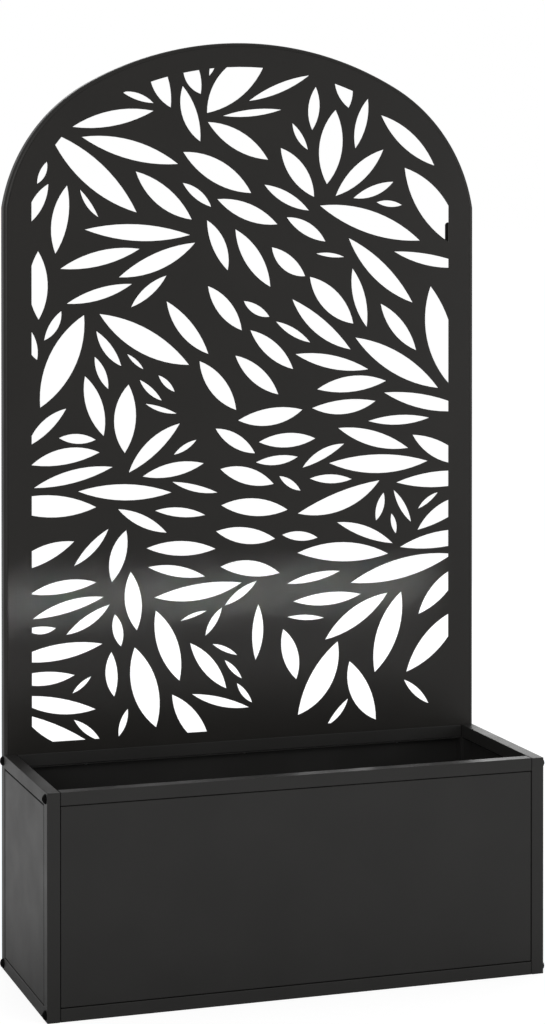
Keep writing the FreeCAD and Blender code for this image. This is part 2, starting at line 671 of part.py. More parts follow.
# Leaves of the pattern. Each has its two tips as shares of the screen's width from the left and of its height
# above the box, then how far its left and its right side bulge, as shares of its length going from tip to tip.
leaf_shares = (
    (0.241, 0.927, 0.306, 0.912, 0.125, 0.075),
    (0.139, 0.877, 0.306, 0.901, 0.096, 0.08),
    (0.091, 0.870, 0.271, 0.757, 0.099, 0.113),
    (0.158, 0.863, 0.357, 0.826, 0.10, 0.083),
    (0.087, 0.828, 0.067, 0.797, 0.17, 0.11),
    (0.090, 0.797, 0.046, 0.739, 0.12, 0.14),
    (0.128, 0.795, 0.104, 0.699, 0.10, 0.14),
    (0.154, 0.7893, 0.192, 0.7503, 0.05, 0.11),
    (0.164, 0.733, 0.382, 0.725, 0.072, 0.079),
    (0.269, 0.815, 0.386, 0.747, 0.11, 0.145),
    (0.307, 0.985, 0.342, 0.906, 0.105, 0.21),
    (0.367, 0.937, 0.404, 0.858, 0.10, 0.17),
    (0.380, 0.985, 0.405, 0.926, 0.12, 0.27),
    (0.4225, 0.952, 0.435, 0.985, 0.066, 0.148),
    (0.418, 0.899, 0.548, 0.985, 0.22, 0.14),
    (0.507, 0.917, 0.636, 0.955, 0.063, 0.065),
    (0.452, 0.895, 0.576, 0.905, 0.055, 0.055),
    (0.651, 0.939, 0.643, 0.876, 0.135, 0.14),
    (0.700, 0.975, 0.7225, 0.909, 0.20, 0.19),
    (0.765, 0.923, 0.737, 0.850, 0.10, 0.12),
    (0.694, 0.906, 0.675, 0.798, 0.158, 0.17),
    (0.694, 0.781, 0.799, 0.849, 0.115, 0.113),
    (0.733, 0.778, 0.821, 0.802, 0.09, 0.13),
    (0.784, 0.772, 0.840, 0.768, 0.115, 0.115),
    (0.794, 0.899, 0.9125, 0.826, 0.111, 0.108),
    (0.846, 0.8225, 0.968, 0.705, 0.164, 0.134),
    (0.660, 0.767, 0.880, 0.716, 0.108, 0.09),
    (0.7225, 0.720, 0.864, 0.625, 0.079, 0.109),
    (0.823, 0.7, 0.989, 0.678, 0.05, 0.088),
    (0.731, 0.676, 0.7625, 0.590, 0.10, 0.11),
    (0.638, 0.664, 0.733, 0.5955, 0.15, 0.17),
    (0.793, 0.624, 0.872, 0.555, 0.114, 0.128),
    (0.904, 0.649, 0.954, 0.499, 0.115, 0.152),
    (0.7375, 0.575, 0.921, 0.499, 0.098, 0.103),
    (0.600, 0.632, 0.727, 0.558, 0.063, 0.13),
    (0.565, 0.600, 0.639, 0.569, 0.09, 0.09),
    (0.607, 0.5525, 0.766, 0.5285, 0.08, 0.088),
    (0.654, 0.501, 0.805, 0.511, 0.124, 0.09),
    (0.801, 0.494, 0.989, 0.466, 0.065, 0.088),
    (0.643, 0.474, 0.782, 0.482, 0.07, 0.14),
    (0.766, 0.453, 0.901, 0.4555, 0.067, 0.08),
    (0.700, 0.444, 0.854, 0.412, 0.09, 0.102),
    (0.864, 0.431, 0.989, 0.387, 0.103, 0.153),
    (0.680, 0.3935, 0.8975, 0.392, 0.072, 0.105),
    (0.828, 0.362, 1.029, 0.368, 0.08, 0.083),
    (0.800, 0.348, 0.783, 0.307, 0.15, 0.13),
    (0.822, 0.351, 0.861, 0.303, 0.09, 0.09),
    (0.817, 0.317, 0.827, 0.287, 0.14, 0.13),
    (0.876, 0.322, 0.921, 0.3455, 0.11, 0.075),
    (0.875, 0.291, 1.007, 0.338, 0.16, 0.065),
    (0.836, 0.267, 1.029, 0.282, 0.10, 0.073),
    (0.6975, 0.307, 0.820, 0.273, 0.104, 0.066),
    (0.611, 0.265, 0.810, 0.258, 0.115, 0.084),
    (0.727, 0.218, 0.954, 0.2535, 0.089, 0.085),
    (0.877, 0.167, 0.975, 0.237, 0.134, 0.112),
    (0.850, 0.083, 0.975, 0.174, 0.131, 0.119),
    (0.839, 0.202, 0.780, 0.085, 0.13, 0.137),
    (0.671, 0.137, 0.809, 0.201, 0.118, 0.10),
    (0.602, 0.195, 0.750, 0.201, 0.075, 0.103),
    (0.589, 0.173, 0.669, 0.169, 0.07, 0.07),
    (0.589, 0.221, 0.704, 0.236, 0.08, 0.07),
    (0.446, 0.250, 0.573, 0.237, 0.15, 0.10),
    (0.527, 0.194, 0.521, 0.113, 0.12, 0.09),
    (0.580, 0.156, 0.609, 0.082, 0.17, 0.145),
    (0.699, 0.134, 0.612, 0.030, 0.192, 0.10),
    (0.7245, 0.104, 0.783, 0.016, 0.115, 0.198),
    (0.845, 0.072, 0.900, 0.035, 0.10, 0.10),
    (0.675, 0.012, 0.722, 0.050, 0.06, 0.12),
    (0.052, 0.2235, 0.188, 0.236, 0.115, 0.075),
    (0.057, 0.1885, 0.2025, 0.215, 0.099, 0.06),
    (0.043, 0.175, 0.105, 0.1745, 0.07, 0.185),
    (0.125, 0.164, 0.215, 0.204, 0.08, 0.12),
    (0.018, 0.132, 0.200, 0.149, 0.085, 0.09),
    (0.011, 0.106, 0.143, 0.107, 0.08, 0.13),
    (0.1375, 0.081, 0.177, 0.104, 0.10, 0.10),
    (0.018, 0.081, 0.186, 0.057, 0.065, 0.12),
    (0.0335, 0.0573, 0.1975, -0.002, 0.052, 0.13),
    (0.225, 0.190, 0.238, 0.1435, 0.16, 0.165),
    (0.258, 0.249, 0.271, 0.165, 0.137, 0.158),
    (0.249, 0.308, 0.219, 0.235, 0.13, 0.17),
    (0.310, 0.192, 0.360, 0.090, 0.145, 0.135),
    (0.266, 0.1415, 0.311, 0.026, 0.15, 0.165),
    (0.218, 0.137, 0.224, 0.073, 0.11, 0.17),
    (0.382, 0.143, 0.459, 0.075, 0.126, 0.12),
    (0.455, 0.116, 0.492, 0.088, 0.10, 0.10),
    (0.344, 0.071, 0.425, -0.008, 0.135, 0.15),
    (0.386, 0.070, 0.507, 0.046, 0.055, 0.09),
    (0.481, 0.082, 0.514, 0.0525, 0.09, 0.13),
    (0.252, 0.055, 0.233, 0.016, 0.12, 0.12),
    (0.141, 0.044, 0.196, 0.012, 0.10, 0.10),
    (0.047, 0.430, 0.126, 0.482, 0.14, 0.08),
    (0.111, 0.441, 0.186, 0.437, 0.13, 0.13),
    (0.055, 0.404, 0.194, 0.419, 0.148, 0.078),
    (0.060, 0.372, 0.221, 0.398, 0.09, 0.065),
    (-0.004, 0.3505, 0.187, 0.342, 0.11, 0.12),
    (0.150, 0.365, 0.343, 0.359, 0.08, 0.087),
    (0.232, 0.338, 0.333, 0.302, 0.10, 0.10),
    (0.008, 0.255, 0.142, 0.295, 0.135, 0.095),
    (0.141, 0.260, 0.2125, 0.311, 0.07, 0.105),
    (0.164, 0.527, 0.2025, 0.442, 0.138, 0.13),
    (0.254, 0.514, 0.246, 0.417, 0.14, 0.19),
    (0.254, 0.389, 0.361, 0.457, 0.13, 0.075),
    (0.283, 0.383, 0.411, 0.399, 0.11, 0.10),
    (0.348, 0.4125, 0.396, 0.433, 0.10, 0.10),
    (0.345, 0.374, 0.44, 0.3565, 0.05, 0.09),
    (0.309, 0.334, 0.414, 0.325, 0.10, 0.08),
    (0.291, 0.281, 0.436, 0.276, 0.105, 0.10),
    (0.294, 0.254, 0.414, 0.237, 0.10, 0.08),
    (0.307, 0.2105, 0.492, 0.226, 0.066, 0.11),
    (0.455, 0.194, 0.524, 0.2275, 0.10, 0.10),
    (0.414, 0.152, 0.450, 0.192, 0.12, 0.10),
    (0.3615, 0.175, 0.418, 0.188, 0.10, 0.04),
    (0.429, 0.140, 0.482, 0.122, 0.10, 0.07),
    (0.069, 0.703, 0.070, 0.607, 0.14, 0.145),
    (0.052, 0.594, 0.067, 0.551, 0.11, 0.20),
    (0.116, 0.619, 0.081, 0.578, 0.17, 0.10),
    (0.1625, 0.613, 0.073, 0.484, 0.139, 0.14),
    (0.1875, 0.590, 0.239, 0.540, 0.09, 0.135),
    (0.184, 0.554, 0.212, 0.508, 0.125, 0.12),
    (0.194, 0.614, 0.380, 0.540, 0.10, 0.125),
    (0.259, 0.623, 0.333, 0.6675, 0.11, 0.09),
    (0.127, 0.629, 0.261, 0.656, 0.08, 0.085),
    (0.114, 0.678, 0.277, 0.7055, 0.094, 0.08),
    (0.234, 0.6655, 0.393, 0.714, 0.08, 0.115),
    (0.333, 0.631, 0.421, 0.555, 0.09, 0.14),
    (0.251, 0.557, 0.285, 0.535, 0.09, 0.09),
    (0.277, 0.520, 0.323, 0.490, 0.08, 0.12),
    (0.289, 0.486, 0.354, 0.471, 0.05, 0.09),
    (0.316, 0.526, 0.350, 0.502, 0.12, 0.12),
    (0.368, 0.843, 0.512, 0.785, 0.145, 0.125),
    (0.420, 0.886, 0.548, 0.833, 0.13, 0.12),
    (0.600, 0.886, 0.634, 0.8475, 0.09, 0.13),
    (0.575, 0.850, 0.6475, 0.7795, 0.16, 0.14),
    (0.540, 0.797, 0.636, 0.760, 0.10, 0.11),
    (0.652, 0.6975, 0.713, 0.6925, 0.08, 0.06),
    (0.556, 0.707, 0.628, 0.665, 0.13, 0.20),
    (0.496, 0.630, 0.551, 0.607, 0.12, 0.17),
    (0.588, 0.750, 0.672, 0.715, 0.15, 0.11),
    (0.367, 0.799, 0.427, 0.765, 0.14, 0.10),
    (0.440, 0.776, 0.568, 0.740, 0.12, 0.12),
    (0.418, 0.746, 0.462, 0.674, 0.16, 0.10),
    (0.478, 0.733, 0.553, 0.650, 0.13, 0.13),
    (0.420, 0.652, 0.492, 0.588, 0.14, 0.14),
    (0.510, 0.588, 0.602, 0.531, 0.13, 0.12),
    (0.402, 0.545, 0.480, 0.474, 0.14, 0.15),
    (0.478, 0.552, 0.570, 0.495, 0.13, 0.13),
    (0.484, 0.459, 0.622, 0.472, 0.10, 0.15),
    (0.528, 0.427, 0.650, 0.430, 0.12, 0.12),
    (0.436, 0.448, 0.520, 0.411, 0.14, 0.13),
    (0.622, 0.388, 0.713, 0.421, 0.13, 0.06),
    (0.522, 0.398, 0.612, 0.404, 0.09, 0.12),
    (0.446, 0.390, 0.560, 0.366, 0.15, 0.13),
    (0.638, 0.372, 0.7295, 0.369, 0.10, 0.10),
    (0.572, 0.377, 0.618, 0.355, 0.13, 0.13),
    (0.448, 0.338, 0.590, 0.328, 0.13, 0.12),
    (0.612, 0.322, 0.791, 0.366, 0.05, 0.15),
    (0.437, 0.301, 0.563, 0.287, 0.12, 0.14),
    (0.578, 0.292, 0.655, 0.286, 0.13, 0.12),
)


def leaf_face(shares):
    """A pointed leaf on the screen's face: one bulging arc on each side between its two tips.

    Its bulges are measured at the drawn size and then stretched with the screen, as its tips are.
    """
    x_start, z_start, x_end, z_end, left_share, right_share = shares
    screen_high = size("full_height") - foot_z
    start = point(x_start * size("width") - half_width, foot_z + z_start * screen_high)
    end = point(x_end * size("width") - half_width, foot_z + z_end * screen_high)
    drawn_x = (x_end - x_start) * size("drawn_width")
    drawn_z = (z_end - z_start) * size("drawn_height")
    stretch_x = size("width") / size("drawn_width")
    stretch_z = screen_high / size("drawn_height")
    left = FreeCAD.Vector(-drawn_z * stretch_x, 0, drawn_x * stretch_z)
    middle = (start + end) / 2
    edges = [
        Part.Arc(start, middle + left * left_share, end).toShape(),
        Part.Arc(end, middle - left * right_share, start).toShape(),
    ]
    return Part.Face(Part.Wire(edges))


window = outline(size("window_side"), size("window_arch"), size("window_foot"))
leaves = []
for shares in leaf_shares:
    leaf = leaf_face(shares)
    reach = leaf.common(window)
    if reach.Area < leaf.Area * (1 - 1e-6):
        leaves.extend(reach.Faces)
    else:
        leaves.append(leaf)
sheet_inset = size("screen_nose") + size("screen_seam")
pattern = outline(sheet_inset, sheet_inset, 0).cut(leaves)
back_step = FreeCAD.Vector(0, size("screen_wall"), 0)
screen_sheet = doc.addObject("Part::Feature", "ScreenSheet")
screen_sheet.Shape = pattern.Faces[0].extrude(back_step)
screen_sheet.Placement = FreeCAD.Placement()
finish(screen_sheet, "screen_sheet")


def rim_profile(at, outward):
    """The rim's section at a point of the outline: rounded nose from the face to the folded flange."""
    nose = size("screen_nose")
    wall = size("screen_wall")
    deep = size("screen_depth")

    def spot(inset, y):
        return FreeCAD.Vector(at.x - outward * inset, face_y + y, at.z)

    def nose_mid(radius):
        return spot(nose - radius * math.sqrt(0.5), nose - radius * math.sqrt(0.5))

    edges = [
        Part.makeLine(spot(0, deep), spot(0, nose)),
        Part.Arc(spot(0, nose), nose_mid(nose), spot(nose, 0)).toShape(),
        Part.makeLine(spot(nose, 0), spot(nose, wall)),
        Part.Arc(spot(nose, wall), nose_mid(nose - wall), spot(wall, nose)).toShape(),
        Part.makeLine(spot(wall, nose), spot(wall, deep)),
        Part.makeLine(spot(wall, deep), spot(0, deep)),
    ]
    return Part.Face(Part.Wire(edges))


def below_mitre(side):
    """A block below the plane in which an upright of the rim meets the arch."""
    outer_z = spring(0, 0)
    nose = size("screen_nose")
    slope = math.degrees(math.atan2(spring(nose, nose) - outer_z, nose))
    reach = size("screen_depth") * 2
    corner = FreeCAD.Vector(-half_width, -reach / 2, -outer_z)
    block = Part.makeBox(half_width * 2, reach, outer_z, corner)
    block.rotate(FreeCAD.Vector(0, 0, 0), FreeCAD.Vector(0, 1, 0), side * slope)
    block.translate(FreeCAD.Vector(side * half_width, face_y + reach / 4, outer_z))
    return block


def rim_upright(label, side):
    """The rim beside the sheet, from the box up to where the arch springs."""
    profile = rim_profile(FreeCAD.Vector(side * half_width, 0, foot_z), side)
    tall = spring(0, 0) - foot_z + size("screen_nose")
    shape = profile.extrude(FreeCAD.Vector(0, 0, tall)).common(below_mitre(side))
    thing = doc.addObject("Part::Feature", label.title().replace("_", ""))
    thing.Shape = shape.Solids[0]
    thing.Placement = FreeCAD.Placement()
    return finish(thing, label)


def rim_arch(label):
    """The rim over the sheet: two shoulder sweeps and the crown's sweep, mitred onto the uprights."""
    axis = FreeCAD.Vector(0, 1, 0)
    extra = 2
    start = math.degrees(math.asin((spring(0, 0) - haunch_z) / haunch_radius)) - extra
    meet = math.degrees(meet_angle)
    pieces = []
    for side in (-1, 1):
        centre = FreeCAD.Vector(side * haunch_x, 0, haunch_z)
        outer = FreeCAD.Vector(side * (haunch_x + haunch_radius), 0, haunch_z)
        profile = rim_profile(outer, side)
        profile.rotate(centre, axis, -side * start)
        sweep = profile.revolve(centre, axis, -side * (meet - start))
        pieces.append(sweep.cut(below_mitre(side)))
    centre = FreeCAD.Vector(0, 0, crown_z)
    profile = rim_profile(FreeCAD.Vector(crown_radius, 0, crown_z), 1)
    profile.rotate(centre, axis, -meet)
    pieces.append(profile.revolve(centre, axis, -2 * (90 - meet)))
    shape = pieces[0].fuse(pieces[1:])
    thing = doc.addObject("Part::Feature", label.title().replace("_", ""))
    thing.Shape = shape.Solids[0]
    thing.Placement = FreeCAD.Placement()
    return finish(thing, label)


rim_upright("screen_rim_left", -1)
rim_upright("screen_rim_right", 1)
rim_arch("screen_rim_arch")

# Foot of the screen: an angle along the sheet that bolts down through the back top rail.
foot_half = "( width / 2 - screen_nose )"
foot_y = "depth / 2 - screen_depth + screen_wall"
upright = box(
    "FootUpright", f"2 * {foot_half}", "foot_sheet", "foot_up", f"0 - {foot_half}", foot_y, "box_height"
)
level = box(
    "FootLevel", f"2 * {foot_half}", "foot_reach", "foot_sheet", f"0 - {foot_half}", foot_y, "box_height"
)
foot_holes = []
foot_bolts = []
foot_washers = []
foot_nuts = []
foot_bolt_y = "depth / 2 - foot_bolt_back"
for n, x in enumerate(foot_bolt_places):
    foot_holes.append(
        rod(f"FootHole{n}", "foot_bolt_clear_radius", "foot_up", x, foot_bolt_y, "box_height - foot_up / 2")
    )
    disc = rod(f"WasherDisc{n}", "washer_radius", "washer_sheet", "0", "0", "0")
    hole = rod(f"WasherHole{n}", "foot_bolt_clear_radius", "washer_sheet * 3", "0", "0", "0 - washer_sheet")
    washer = cut(f"Washer{n}", disc, [hole])
    foot_washers.append(place(washer, x, foot_bolt_y, "box_height + foot_sheet"))
    head = hexagon(f"FootBoltHead{n}", "foot_bolt_head_radius", "foot_bolt_head_high")
    shank = rod(f"FootBoltShank{n}", "foot_bolt_radius", "foot_bolt_long", "0", "0", "0 - foot_bolt_long")
    bolt = joined(f"FootBolt{n}", [head, shank])
    foot_bolts.append(place(bolt, x, foot_bolt_y, "box_height + foot_sheet + washer_sheet"))
    block = hexagon(f"FootNutBlock{n}", "foot_bolt_head_radius", "nut_high")
    thread = rod(f"FootNutThread{n}", "foot_bolt_radius", "nut_high * 3", "0", "0", "0 - nut_high")
    nut = cut(f"FootNut{n}", block, [thread])
    foot_nuts.append(place(nut, x, foot_bolt_y, "box_height - tube_wall - nut_high"))
finish(cut("ScreenFoot", joined("FootAngle", [upright, level]), foot_holes), "screen_foot")
finish(group("FootWashers", foot_washers), "screen_foot_washers")
finish(group("FootBolts", foot_bolts), "screen_foot_bolts")
finish(group("FootNuts", foot_nuts), "screen_foot_nuts")


def wall_bracket(label, side):
    """A tab welded inside the rim near its back edge, with a hole for a screw into a wall."""
    name = label.title().replace("_", "")
    wall = "( width / 2 - screen_wall )"
    base = "( full_height - arch_rise_share * width - bracket_drop )"
    tab_low = f"0 - {wall}" if side < 0 else f"{wall} - bracket_reach"
    leg_low = f"0 - {wall}" if side < 0 else f"{wall} - bracket_sheet"
    tab = box(
        name + "Tab",
        "bracket_reach",
        "bracket_sheet",
        "bracket_high",
        tab_low,
        "depth / 2 - bracket_sheet",
        base,
    )
    free_x = side * (half_width - size("screen_wall") - size("bracket_reach"))
    soft = rounded(
        name + "Soft",
        tab,
        "bracket_round",
        lambda edge: along(edge, 1) and near(edge, 0, free_x),
    )
    leg = box(
        name + "Leg",
        "bracket_sheet",
        "bracket_leg",
        "bracket_high",
        leg_low,
        "depth / 2 - bracket_sheet - bracket_leg",
        base,
    )
    hole = rod(
        name + "Hole",
        "bracket_hole_radius",
        "bracket_sheet * 3",
        f"{side} * ( {wall} - bracket_hole_in )",
        "depth / 2 - bracket_sheet * 2",
        f"{base} + bracket_high / 2",
        (0, 1, 0),
    )
    return finish(cut(name, joined(name + "Angle", [soft, leg]), [hole]), label)


wall_bracket("wall_bracket_left", -1)
wall_bracket("wall_bracket_right", 1)

doc.recompute()
for thing in doc.Objects:
    if "Invalid" in thing.State or "Error" in thing.State:
        raise RuntimeError(f"{thing.Name} failed: {thing.State}")
    if hasattr(thing, "Shape") and (thing.Shape.isNull() or not thing.Shape.isValid()):
        raise RuntimeError(f"{thing.Name} has a shape that is not valid")

os.makedirs("parts", exist_ok=True)
for thing in subparts:
    thing.Shape.exportStep(f"parts/{thing.Label}.step")
    bounds = thing.Shape.optimalBoundingBox()
    print(
        f"{thing.Label:24s} solids {len(thing.Shape.Solids):3d}"
        f"  x {bounds.XMin:8.1f} {bounds.XMax:8.1f}"
        f"  y {bounds.YMin:7.1f} {bounds.YMax:7.1f}"
        f"  z {bounds.ZMin:7.1f} {bounds.ZMax:7.1f}"
    )
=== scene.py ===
"""Dresses a box planter on a square tube frame and its tall arched screen with cut-through leaves.

Everything is in metres in the part's own frame: X along the width, Y from the front to the back where the
screen stands, Z up, with the origin on the ground under the middle of the box.
"""

import logging
import math
from dataclasses import dataclass
from enum import Enum

import bpy
import numpy as np
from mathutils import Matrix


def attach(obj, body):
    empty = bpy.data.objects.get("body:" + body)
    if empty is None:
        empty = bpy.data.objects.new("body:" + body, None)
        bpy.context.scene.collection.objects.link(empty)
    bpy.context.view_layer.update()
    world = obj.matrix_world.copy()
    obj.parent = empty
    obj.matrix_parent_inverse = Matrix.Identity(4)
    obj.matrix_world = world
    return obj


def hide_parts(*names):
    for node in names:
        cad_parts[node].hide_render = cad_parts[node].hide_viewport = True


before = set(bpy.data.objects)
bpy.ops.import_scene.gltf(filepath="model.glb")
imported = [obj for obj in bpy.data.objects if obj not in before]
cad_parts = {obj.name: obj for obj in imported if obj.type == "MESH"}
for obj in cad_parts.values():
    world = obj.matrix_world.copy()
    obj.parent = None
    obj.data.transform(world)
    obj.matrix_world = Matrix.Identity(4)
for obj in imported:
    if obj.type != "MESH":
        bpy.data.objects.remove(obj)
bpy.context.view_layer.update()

logging.basicConfig(level=logging.INFO, format="%(levelname)s %(name)s: %(message)s")
LOG = logging.getLogger("planter")

Point = tuple[float, float, float]
Colour = tuple[float, float, float]
Socket = bpy.types.NodeSocket

# Corners, one row each, and the four corner numbers of each face, where a triangle repeats its last corner.
Surface = tuple[np.ndarray, np.ndarray]

# Where a screw's head sits and where it looks.
Seat = tuple[Point, Point]

# Radius and height, each as one number for the whole ring or as one for each of its corners.
Step = tuple[np.ndarray | float, np.ndarray | float]

ROOT = "root"

# Faces that meet at a smaller angle than this look smooth.
SMOOTH_ANGLE = math.radians(32)

# An axis of length one counts as upright where its z is over this.
NEARLY_UPRIGHT = 0.9

# Most values of a noise lie between these two.
NOISE_LOW, NOISE_HIGH = 0.3, 0.7

# Places of the share, the two colours and the result among the sockets of a Mix node.
MIX_SHARE, MIX_FIRST, MIX_SECOND, MIX_RESULT = 0, 6, 7, 2


class Slot(Enum):
    """The material slots that a piece can take its finish from."""

    COAT = "coated_steel"
    BOLT = "dark_bolts"
    STEEL = "plain_steel"


class Axis(Enum):
    """An axis by the number of its coordinate."""

    X = 0
    Y = 1
    Z = 2


class Drive(Enum):
    """The recess in a screw's head."""

    HEXAGON = "hexagon"
    LOBES = "lobes"


# Meshes


def signed_volume(points: np.ndarray, quads: np.ndarray) -> float:
    """Volume inside a closed surface, negative where its faces look inwards.

    The sum over all faces of the box product of three of their corners, divided by six.

    Args:
        points: Corners, one row each.
        quads: Corner numbers of each face; a triangle repeats its last corner.

    Returns:
        The signed volume in cubic metres.
    """
    a, b, c, d = (points[quads[:, k]] for k in range(4))
    first = np.einsum("ij,ij->i", a, np.cross(b, c))
    second = np.einsum("ij,ij->i", a, np.cross(c, d))
    return float((first + second).sum() / 6)


def put_in_scene(name: str, data: bpy.types.ID) -> bpy.types.Object:
    """Makes an object and links it to the scene.

    Args:
        name: Name of the object.
        data: Its mesh, light or camera.

    Returns:
        The object.
    """
    thing = bpy.data.objects.new(name, data)
    bpy.context.scene.collection.objects.link(thing)
    return thing


def make_piece(
    name: str, surface: Surface, slot: Slot, material: bpy.types.Material, node: str | None = None
) -> None:
    """Puts a closed surface into the scene as a piece that rides on the part.

    Its faces are turned outwards, and its edges are crisp where faces meet at more than the smooth angle.

    Args:
        name: Name of the piece.
        surface: Its surface, in metres.
        slot: The material slot that its finish belongs to; not used.
        material: Its finish.
        node: The node that it stands for; with none, it is added to what is there.
    """
    points, quads = surface
    if signed_volume(points, quads) < 0:
        quads = quads[:, ::-1]
    faces = [tuple(dict.fromkeys(row)) for row in quads.tolist()]
    mesh = bpy.data.meshes.new(name)
    mesh.from_pydata(points.tolist(), [], faces)
    mesh.shade_smooth()
    mesh.set_sharp_from_angle(angle=SMOOTH_ANGLE)
    mesh.validate()
    mesh.update()
    mesh.materials.append(material)
    piece = put_in_scene(name, mesh)
    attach(piece, ROOT)
    if node is not None:
        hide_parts(node)
    LOG.info("%s: %d corners, %d faces, %s", name, len(points), len(faces), material.name)


def tube_faces(rows: int, columns: int) -> np.ndarray:
    """Faces of a grid of rows by columns whose columns run round in a ring.

    Args:
        rows: How many rings there are.
        columns: How many corners a ring has.

    Returns:
        Four corner numbers for each face, where corner number is row times columns plus column.
    """
    row, column = np.meshgrid(np.arange(rows - 1), np.arange(columns), indexing="ij")
    after = (column + 1) % columns
    corners = [row * columns + column, row * columns + after]
    corners += [(row + 1) * columns + after, (row + 1) * columns + column]
    return np.stack([c.ravel() for c in corners], axis=1)


def ring_solid(rings: np.ndarray) -> Surface:
    """A closed surface through rings, each end drawn together into a pole in the middle of its ring.

    Args:
        rings: Corners as an array of ring, step round the ring, coordinate.

    Returns:
        The corners and the faces.
    """
    count, around, _ = rings.shape
    poles = np.stack([rings[0].mean(axis=0), rings[-1].mean(axis=0)])
    points = np.concatenate([rings.reshape(-1, 3), poles])
    column = np.arange(around)
    after = (column + 1) % around
    start, end = count * around, count * around + 1
    last = (count - 1) * around
    foot = np.stack([after, column, np.full(around, start), np.full(around, start)], axis=1)
    head = np.stack([last + column, last + after, np.full(around, end), np.full(around, end)], axis=1)
    return points, np.concatenate([tube_faces(count, around), foot, head])


def closed_loop(rings: np.ndarray) -> Surface:
    """A closed surface whose rings lead back to the first one, such as a washer.

    Args:
        rings: Corners as an array of ring, step round the ring, coordinate.

    Returns:
        The corners and the faces.
    """
    count, around, _ = rings.shape
    return rings.reshape(-1, 3), tube_faces(count + 1, around) % (count * around)


def gathered(parts: list[Surface]) -> Surface:
    """Several closed surfaces in one, with their corner numbers shifted on.

    Args:
        parts: Corners and faces of each surface.

    Returns:
        The corners and the faces of all of them.
    """
    starts = np.cumsum([0] + [len(points) for points, _ in parts])
    quads = [faces + start for (_, faces), start in zip(parts, starts)]
    return np.concatenate([points for points, _ in parts]), np.concatenate(quads)


def turned(points: np.ndarray, axis: Point, place: Point) -> np.ndarray:
    """Corners turned so that their own +Z looks along an axis, then moved to a place.

    Two more directions square to the axis complete a right-handed set, and each corner is the sum of the
    three directions times its own coordinates.

    Args:
        points: Corners in their own frame.
        axis: Where their +Z looks afterwards.
        place: Where their origin goes.

    Returns:
        The corners in the part's frame.
    """
    up = np.asarray(axis, float) / np.linalg.norm(axis)
    helper = Axis.Z if abs(up[Axis.Z.value]) < NEARLY_UPRIGHT else Axis.X
    side = np.cross(np.eye(3)[helper.value], up)
    side /= np.linalg.norm(side)
    return points @ np.stack([side, np.cross(up, side), up]) + np.asarray(place, float)


def steps_round(around: int) -> np.ndarray:
    """Angles of equal steps once round a circle."""
    return np.linspace(0, 2 * math.pi, around, endpoint=False)


def rings_round(outline: list[Step], around: int) -> np.ndarray:
    """Rings round the Z axis, one for each step of an outline.

    Each corner is the step's radius times cosine and sine of its angle, at the step's height.

    Args:
        outline: Radius and height of each step.
        around: How many corners a ring has.

    Returns:
        Corners as an array of ring, step round the ring, coordinate.
    """
    angle = steps_round(around)
    cosine, sine = np.cos(angle), np.sin(angle)
    rings = [(radius * cosine, radius * sine, height + 0 * angle) for radius, height in outline]
    return np.stack([np.stack(ring, axis=1) for ring in rings])


def hexagon(angle: np.ndarray, corner_radius: float) -> np.ndarray:
    """Distance of a hexagon's outline from its middle at each angle.

    It is the distance of a side over the cosine of the angle from that side's middle.

    Args:
        angle: The angles, where a corner lies at zero.
        corner_radius: Distance of the corners.

    Returns:
        The distances.
    """
    sixth = math.pi / 3
    return corner_radius * math.cos(sixth / 2) / np.cos(angle % sixth - sixth / 2)


# Finishes


@dataclass(frozen=True)
class Noise:
    """A noise over the object's own coordinates.

    Attributes:
        scale: Waves in a metre.
        detail: How many finer layers are added.
    """

    scale: float
    detail: float


@dataclass(frozen=True)
class PaintedJointShade:
    """A joint between parts, where the coat's colour is darkened as painted shade and its roughness goes up.

    Attributes:
        axis: The axis along which the painted shade runs into the joint.
        start: Where the painted shade starts.
        end: Where the painted shade is darkest, on either side of the start.
    """

    axis: Axis
    start: float
    end: float


